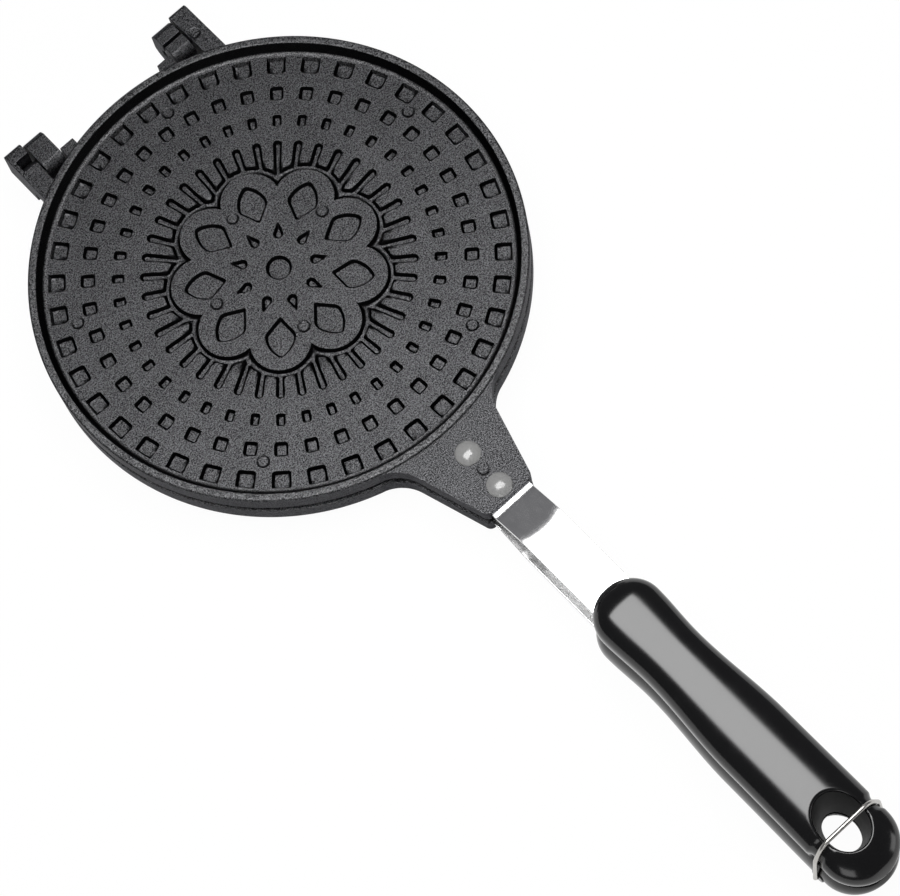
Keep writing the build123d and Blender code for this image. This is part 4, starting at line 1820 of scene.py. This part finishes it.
    def _section_columns(self, place: Points) -> Points:
        """The grip's skin: sections round it at each place.

        The outer face is |x/w|^p + |h/r|^p = 1, each mating corner is a quarter ellipse, and the mating
        face between them is flat. The middle columns of both faces are the ones that the hole's block uses.

        Args:
            place: Places of the sections.

        Returns:
            A grid of points whose columns wrap round.
        """
        place = place[:, None]
        groove = self._groove(place)
        width = self._half_width(place)
        middle, rise = self._levels(place)
        inset = np.minimum(self.corner_inset, width / 2.0)
        flat = width - inset
        side_columns = (self.dome_columns - self.block_columns) // 2
        inside = flat / np.maximum(width, self.least_width)
        edge = np.arccos(np.clip(inside ** (self._power(place) / 2.0), 0.0, 1.0))
        shares = np.linspace(0.0, 1.0, side_columns + 1)[None, :-1]
        side_angles = edge * shares
        power = 2.0 / self._power(place)
        narrow = width - self.groove_side_depth * groove
        side_x = narrow * np.cos(side_angles) ** power
        side_h = middle + (rise - self.groove_top_depth * groove) * np.sin(side_angles) ** power
        block_x = -flat * self._block_shares()[None]
        block_h = self._dome(block_x, place)
        turn = np.linspace(0.0, np.pi / 2, self.corner_columns + 1)[None]
        corner_h = middle - rise * np.sin(turn)
        notch = np.where(corner_h > self.groove_low, groove * self.groove_side_depth, 0.0)
        corner_x = flat + inset * np.cos(turn) - notch
        face_x = -flat * self._block_shares()[None, ::-1][:, 1:-1]
        face_h = np.broadcast_to(middle - rise, face_x.shape)
        outer_x, outer_h = [side_x, block_x, -side_x[:, ::-1]], [side_h, block_h, side_h[:, ::-1]]
        mating_x = [-corner_x[:, 1:], face_x, corner_x[:, :0:-1]]
        mating_h = [corner_h[:, 1:], face_h, corner_h[:, :0:-1]]
        across = np.concatenate([*outer_x, *mating_x], axis=1)
        height = np.concatenate([*outer_h, *mating_h], axis=1)
        along = np.broadcast_to(-place, across.shape)
        return np.stack([across, along, height], axis=2)

    def _hole_grid(self, top: Points, low: Points) -> Points:
        """The hanging hole: rows from the block's edge in the outer face, through, to the mating face's.

        Each row keeps to the face above the plan point: e + (b - e) s between the ellipse's point e and
        the block edge's point b. The lips are quarter rounds, and the ellipse grows upwards by the draft.

        Args:
            top: The block's edge on the outer face, in order round it.
            low: The same on the mating face.

        Returns:
            A grid whose columns go round the hole.
        """
        centre = np.array([0.0, -self.hole_place])
        reach = np.array([self.hole_half_width, self.hole_half_length])
        offset = (low[:, :2] - centre) / np.abs(low[:, :2] - centre).max(axis=0)
        angle = np.arctan2(offset[:, 1], offset[:, 0])
        around = np.stack([np.cos(angle), np.sin(angle)], axis=1)
        normal = around / reach
        normal /= np.linalg.norm(normal, axis=1, keepdims=True)
        draft = math.tan(math.radians(self.hole_draft))
        turn = np.linspace(0.0, np.pi / 2, self.lip_rows)
        rows = []
        for edge, outer in ((top, True), (low, False)):
            level = np.full(len(edge), self.level + self.crown_height if outer else 0.0)
            for _ in range(3):
                ellipse = centre + reach * around + normal * draft * level[:, None]
                level = self._face_height(ellipse, outer)
            lip_start = ellipse + normal * self.hole_lip
            face = []
            for share in np.linspace(1.0, 0.0, self.lip_rows):
                plan = lip_start + (edge[:, :2] - lip_start) * share
                face.append(np.column_stack([plan, self._face_height(plan, outer)]))
            for angle in turn[1:]:
                plan = ellipse + normal * self.hole_lip * (1.0 - math.sin(angle))
                depth = self.hole_lip * (1.0 - math.cos(angle)) * (-1.0 if outer else 1.0)
                face.append(np.column_stack([plan, self._face_height(plan, outer) + depth]))
            face[0] = edge
            rows.append(face if outer else face[::-1])
        first, last = rows[0][-1], rows[1][0]
        walls = first + (last - first) * np.array(self.wall_shares)[:, None, None]
        return np.concatenate([np.stack(rows[0]), walls, np.stack(rows[1])])

    def _lining(self, hole: Points) -> Points:
        """The hole's wall between its lips, drawn in by a hair towards the hole's axis.

        Args:
            hole: The hole's grid.

        Returns:
            The lining's grid.
        """
        outside = 2 * (self.lip_rows - 1)
        wall = hole[outside:-outside]
        axis = np.array([0.0, -self.hole_place])
        towards = (axis - wall[:, :, :2]) / np.linalg.norm(axis - wall[:, :, :2], axis=2, keepdims=True)
        return np.concatenate([wall[:, :, :2] + self.lining_gap * towards, wall[:, :, 2:]], axis=2)

    def _face_height(self, plan: Points, outer: bool) -> Points:
        """The height of one of the grip's two faces.

        Args:
            plan: Points of the plan.
            outer: Whether it is the outer face, and not the mating one.

        Returns:
            The height over each point.
        """
        if outer:
            return self._dome(plan[:, 0], -plan[:, 1])
        middle, rise = self._levels(-plan[:, 1])
        return middle - rise

    def _skin(self) -> tuple[Patchwork, Patchwork]:
        """The whole skin, with the hole's own grid in its blocks' place.

        Returns:
            The skin, and the hole's matt lining.
        """
        places, first, last = self._stations()
        skin = self._section_columns(places)
        columns = skin.shape[1]
        side = (self.dome_columns - self.block_columns) // 2
        top = (side, side + self.block_columns)
        low_start = self.dome_columns + self.corner_columns
        low = (low_start, low_start + self.block_columns)
        patchwork = Patchwork()
        wrapped = np.concatenate([skin, skin[:, :1]], axis=1)
        patchwork.grid(wrapped[: first + 1])
        patchwork.grid(wrapped[last:])
        middle = wrapped[first : last + 1]
        patchwork.grid(middle[:, : top[0] + 1])
        patchwork.grid(middle[:, top[1] : low[0] + 1])
        patchwork.grid(middle[:, low[1] : columns + 1])
        rims = []
        for start, end in (top, low):
            block = middle[:, start : end + 1]
            if start != top[0]:
                block = block[:, ::-1]
            rims.append(np.concatenate([block[0, :-1], block[:-1, -1], block[-1, :0:-1], block[:0:-1, 0]]))
        hole = self._hole_grid(*rims)
        patchwork.grid(hole, wrap=True)
        lining = Patchwork()
        lining.grid(self._lining(hole), wrap=True)
        return patchwork, lining

    def _add_bosses(self, patchwork: Patchwork) -> None:
        """Adds the round bosses that the bail's feet turn in: a profile turned round each pivot.

        Args:
            patchwork: Where the bosses go.
        """
        end, radius, cut = self.boss_end, self.boss_radius, self.boss_chamfer
        profile = np.array([(self.boss_root, radius), (end - cut, radius), (end, radius - cut), (end, 0.0)])
        for side in Side:
            centre = (-self.boss_place, self.boss_level)
            patchwork.grid(turned_across(profile * (side.value, 1.0), centre, self.boss_lines), wrap=True)

    def dress(self, finish: bpy.types.Material, matt: bpy.types.Material,
              screw: bpy.types.Material) -> None:
        """Builds the grip and gives its CAD screw a finish.

        Args:
            finish: The moulding.
            matt: The moulding's unpolished face inside the hanging hole.
            screw: The screw's steel.
        """
        patchwork, lining = self._skin()
        node = self.half.node("grip")
        skin = patchwork.mesh(node, self.half)
        bore = Patchwork()
        width, depth, start = self.screw_room, self.screw_depth, -self.screw_overrun
        room = np.array([(0.0, start), (width, start), (width, depth), (0.0, depth)])
        bore.grid(turned(room, (0.0, -self.screw_place), self.screw_lines), wrap=True)
        mesh = cut_out(skin, [bore.mesh("screw_room", self.half)])
        mesh.set_sharp_from_angle(angle=math.radians(40.0))
        to_object(mesh, f"{node}_dressed", self.half.body, [node], finish)
        mesh = lining.mesh("hole_lining", self.half, closed=False)
        to_object(mesh, f"{node}_hole", self.half.body, [node], matt)
        if self.half is Half.LOWER:
            bosses = Patchwork()
            self._add_bosses(bosses)
            mesh = bosses.mesh("pivot_bosses", self.half, sharp=40.0)
            to_object(mesh, "lower_pivot_bosses", self.half.body, [node], finish)
        driver = frame["nodes"][self.half.node("grip_screw")]
        driver.data.materials.clear()
        driver.data.materials.append(screw)


@dataclass(frozen=True)
class Bail:
    """One bent wire: feet in the lower grip, legs up both sides, shoulders and a flat crossing."""

    radius: float = 0.85
    pivot: float = 311.4
    pivot_level: float = -9.6
    crossing: float = 309.4
    crossing_level: float = 18.9
    pivot_half_span: float = 17.0
    leg_half_span: float = 15.6
    flat_half_span: float = 11.6
    shoulder_height: float = 9.2
    foot_length: float = 4.6
    bends: tuple[float, ...] = (1.3, 6.0, 6.0)

    def dress(self, finish: bpy.types.Material) -> None:
        """Builds the wire as a tube along its bent line, in the leaning plane of the bail.

        Args:
            finish: The wire's finish.
        """
        rise, lean = self.crossing_level - self.pivot_level, self.pivot - self.crossing
        reach = math.hypot(rise, lean)
        half_line = [
            (self.pivot_half_span - self.foot_length, 0.0),
            (self.pivot_half_span, 0.0),
            (self.leg_half_span, reach - self.shoulder_height),
            (self.flat_half_span, reach),
        ]
        corners = [(-across, up) for across, up in half_line] + half_line[::-1]
        line = rounded_path(corners, [*self.bends, *self.bends[::-1]], count=10)
        up = np.array([0.0, lean, rise]) / reach
        foot = np.array([0.0, -self.pivot, self.pivot_level])
        points = foot + line[:, :1] * np.array([1.0, 0.0, 0.0]) + line[:, 1:] * up
        normal = np.cross([1.0, 0.0, 0.0], up)
        wire = Patchwork()
        wire.grid(tube(points, self.radius, normal), wrap=True)
        mesh = wire.mesh("latch_bail", Half.UPPER, sharp=50.0)
        to_object(mesh, "latch_bail_wire", "bail", ["latch_bail"], finish)


@dataclass(frozen=True)
class Studio:
    """The pale floor, the soft lamps, the dim surroundings and the camera."""

    floor_level: float = -10.0
    floor_size: float = 6000.0
    floor_grey: float = 0.8
    floor_white_share: float = 0.97
    camera_place: tuple[float, float, float] = (-200.5, -500.1, 1157.2)
    camera_aim: tuple[float, float, float] = (0.1613, 0.3246, -0.9320)
    camera_up: tuple[float, float, float] = (0.6573, 0.6691, 0.3468)
    lens: float = 130.47
    sensor: float = 36.0
    clip_range: tuple[float, float] = (0.01, 20.0)
    surroundings: Colour = (0.145, 0.145, 0.152)
    key_place: tuple[float, float, float] = (9.0, -74.0, 640.0)
    key_size: tuple[float, float] = (572.0, 400.0)
    key_layers: tuple[tuple[float, float], ...] = (
        (-50.0, 1.6), (-25.0, 1.6), (0.0, 1.6), (25.0, 1.4),
        (50.0, 1.0), (90.0, 0.5), (140.0, 0.3), (200.0, 0.2),
    )
    side_lamps: tuple[tuple[float, float, float], ...] = ((-800.0, -1120.0, 600.0), (950.0, -1270.0, 260.0))
    side_aim: tuple[float, float, float] = (0.0, -320.0, 15.0)
    side_size: tuple[float, float] = (560.0, 460.0)
    side_radiance: float = 2.0

    def _floor(self) -> None:
        """A pale floor that the camera, mirrors and glass see as white."""
        half = self.floor_size / 2
        outline = np.array([(-half, -half), (half, -half), (half, half), (-half, half)])
        ground = Patchwork()
        ground.cap(along_height(outline, self.floor_level - MATING_HEIGHT)[::-1])
        floor = bpy.data.objects.new("floor", ground.mesh("floor", Half.UPPER, closed=False))
        bpy.context.scene.collection.objects.link(floor)
        material = bpy.data.materials.new("pale_floor")
        material.use_nodes = True
        graph = Graph(material.node_tree)
        diffuse = graph.add("ShaderNodeBsdfDiffuse", {}, {"Color": (*[self.floor_grey] * 3, 1.0)})
        white = graph.add("ShaderNodeEmission", {}, {"Color": (1.0, 1.0, 1.0, 1.0), "Strength": 1.0})
        seen = graph.add("ShaderNodeLightPath", output="Is Camera Ray")
        mirrored = graph.add("ShaderNodeLightPath", output="Is Glossy Ray")
        through = graph.add("ShaderNodeLightPath", output="Is Transmission Ray")
        share = seen.most(mirrored).most(through) * self.floor_white_share
        surface = graph.add("ShaderNodeMixShader", {}, {0: share, 1: diffuse, 2: white})
        graph.add("ShaderNodeOutputMaterial", {}, {"Surface": surface})
        floor.data.materials.append(material)

    def _surroundings(self) -> None:
        """A dim, even room."""
        world = bpy.data.worlds.new("room")
        world.use_nodes = True
        graph = Graph(world.node_tree)
        glow = graph.add("ShaderNodeBackground", {}, {"Color": (*self.surroundings, 1.0), "Strength": 1.0})
        graph.add("ShaderNodeOutputWorld", {}, {"Surface": glow})
        bpy.context.scene.world = world

    @staticmethod
    def _lamp(name: str, place: Sequence[float], aim: Sequence[float], size: Sequence[float],
              radiance: float) -> None:
        """Adds a flat lamp that is square to where it is aimed and that the camera doesn't see.

        Args:
            name: The lamp's name.
            place: Its middle, in millimetres.
            aim: The point that it faces.
            size: Its width and height.
            radiance: How bright its face is; its power is pi times this and its area.
        """
        lamp = bpy.data.lights.new(name, "AREA")
        lamp.shape = "RECTANGLE"
        lamp.size, lamp.size_y = size[0] * MM, size[1] * MM
        lamp.energy = radiance * math.pi * lamp.size * lamp.size_y
        holder = bpy.data.objects.new(name, lamp)
        middle, target = Vector(place) * MM, Vector(aim) * MM
        holder.location = middle
        holder.rotation_mode = "QUATERNION"
        holder.rotation_quaternion = (target - middle).to_track_quat("-Z", "Y")
        holder.visible_camera = False
        bpy.context.scene.collection.objects.link(holder)

    def _lamps(self) -> None:
        """One large soft lamp above the handles, in layers that fade at its edges, and two dim low ones."""
        across, along, height = self.key_place
        for layer, (grown, radiance) in enumerate(self.key_layers):
            size = (self.key_size[0] + grown, self.key_size[1] + grown)
            place = (across, along, height + layer)
            self._lamp(f"key_{layer}", place, (across, along, 0.0), size, radiance)
        for number, place in enumerate(self.side_lamps):
            self._lamp(f"side_{number}", place, self.side_aim, self.side_size, self.side_radiance)

    def _camera(self) -> None:
        """The camera at the photograph's place, with its lens."""
        camera = bpy.data.cameras.new("camera")
        camera.sensor_fit = "HORIZONTAL"
        camera.sensor_width = self.sensor
        camera.lens = self.lens
        camera.clip_start, camera.clip_end = self.clip_range
        holder = bpy.data.objects.new("camera", camera)
        back = -Vector(self.camera_aim).normalized()
        right = Vector(self.camera_up).cross(back).normalized()
        up = back.cross(right)
        turn = Matrix((right, up, back)).transposed()
        holder.matrix_world = Matrix.Translation(Vector(self.camera_place) * MM) @ turn.to_4x4()
        bpy.context.scene.collection.objects.link(holder)
        bpy.context.scene.camera = holder

    def build(self) -> None:
        """Builds the studio and sets how the picture is developed."""
        self._floor()
        self._surroundings()
        self._lamps()
        self._camera()
        bpy.context.scene.view_settings.view_transform = "Standard"


# X and Y of the marks that the ejector pins left, on the relief and then on the neck and a lug

PIN_MARKS = (
    (12.4, 81.4), (-71.2, 37.9), (-56.9, -56.1), (37.2, -70.8), (80.3, 13.8),
    (0.7, 28.5), (-27.2, 5.5), (27.8, 5.9), (-9.3, -25.4),
)

OUTER_MARKS = ((0.0, -118.3), (42.0, 98.4))


def main() -> None:
    """Builds the iron piece by piece, then the studio round it."""
    # The dish's coating is painted brighter than the relief's, standing in for the light on its rim and side
    # walls; its inner wall between the two heights gets painted shade.
    painted_light_tones = {"low": (0.0140, 0.0140, 0.0147), "high": (0.1560, 0.1565, 0.1610)}
    rim = CastCoating("rubbed_coating", painted_shade_heights=(4.9, 9.05), **painted_light_tones).material()
    plain = CastCoating(pin_marks=OUTER_MARKS, pin_mark_depth=0.4, paints_wall_shade=False).material()
    marked = CastCoating(pin_marks=PIN_MARKS).material()
    steel = PolishedSteel().material()
    rivets = RivetMetal().material()
    moulding = GlossyMoulding().material()
    matt = GlossyMoulding("matt_moulding", roughness=(0.45, 0.6), specular_level=0.3).material()
    screw = PlainSteel("screw_steel", (0.45, 0.45, 0.46)).material()
    for half in Half:
        Plate(half).dress(rim, plain, marked)
        Strap(half).dress(steel, rivets)
        Grip(half).dress(moulding, matt, screw)
    HingePins().dress(PlainSteel("pin_steel", (0.16, 0.16, 0.17)).material())
    Bail().dress(DrawnWire().material())
    Studio().build()


if __name__ == "__main__":
    logging.basicConfig(level=logging.INFO, format="%(name)s %(message)s")
    main()
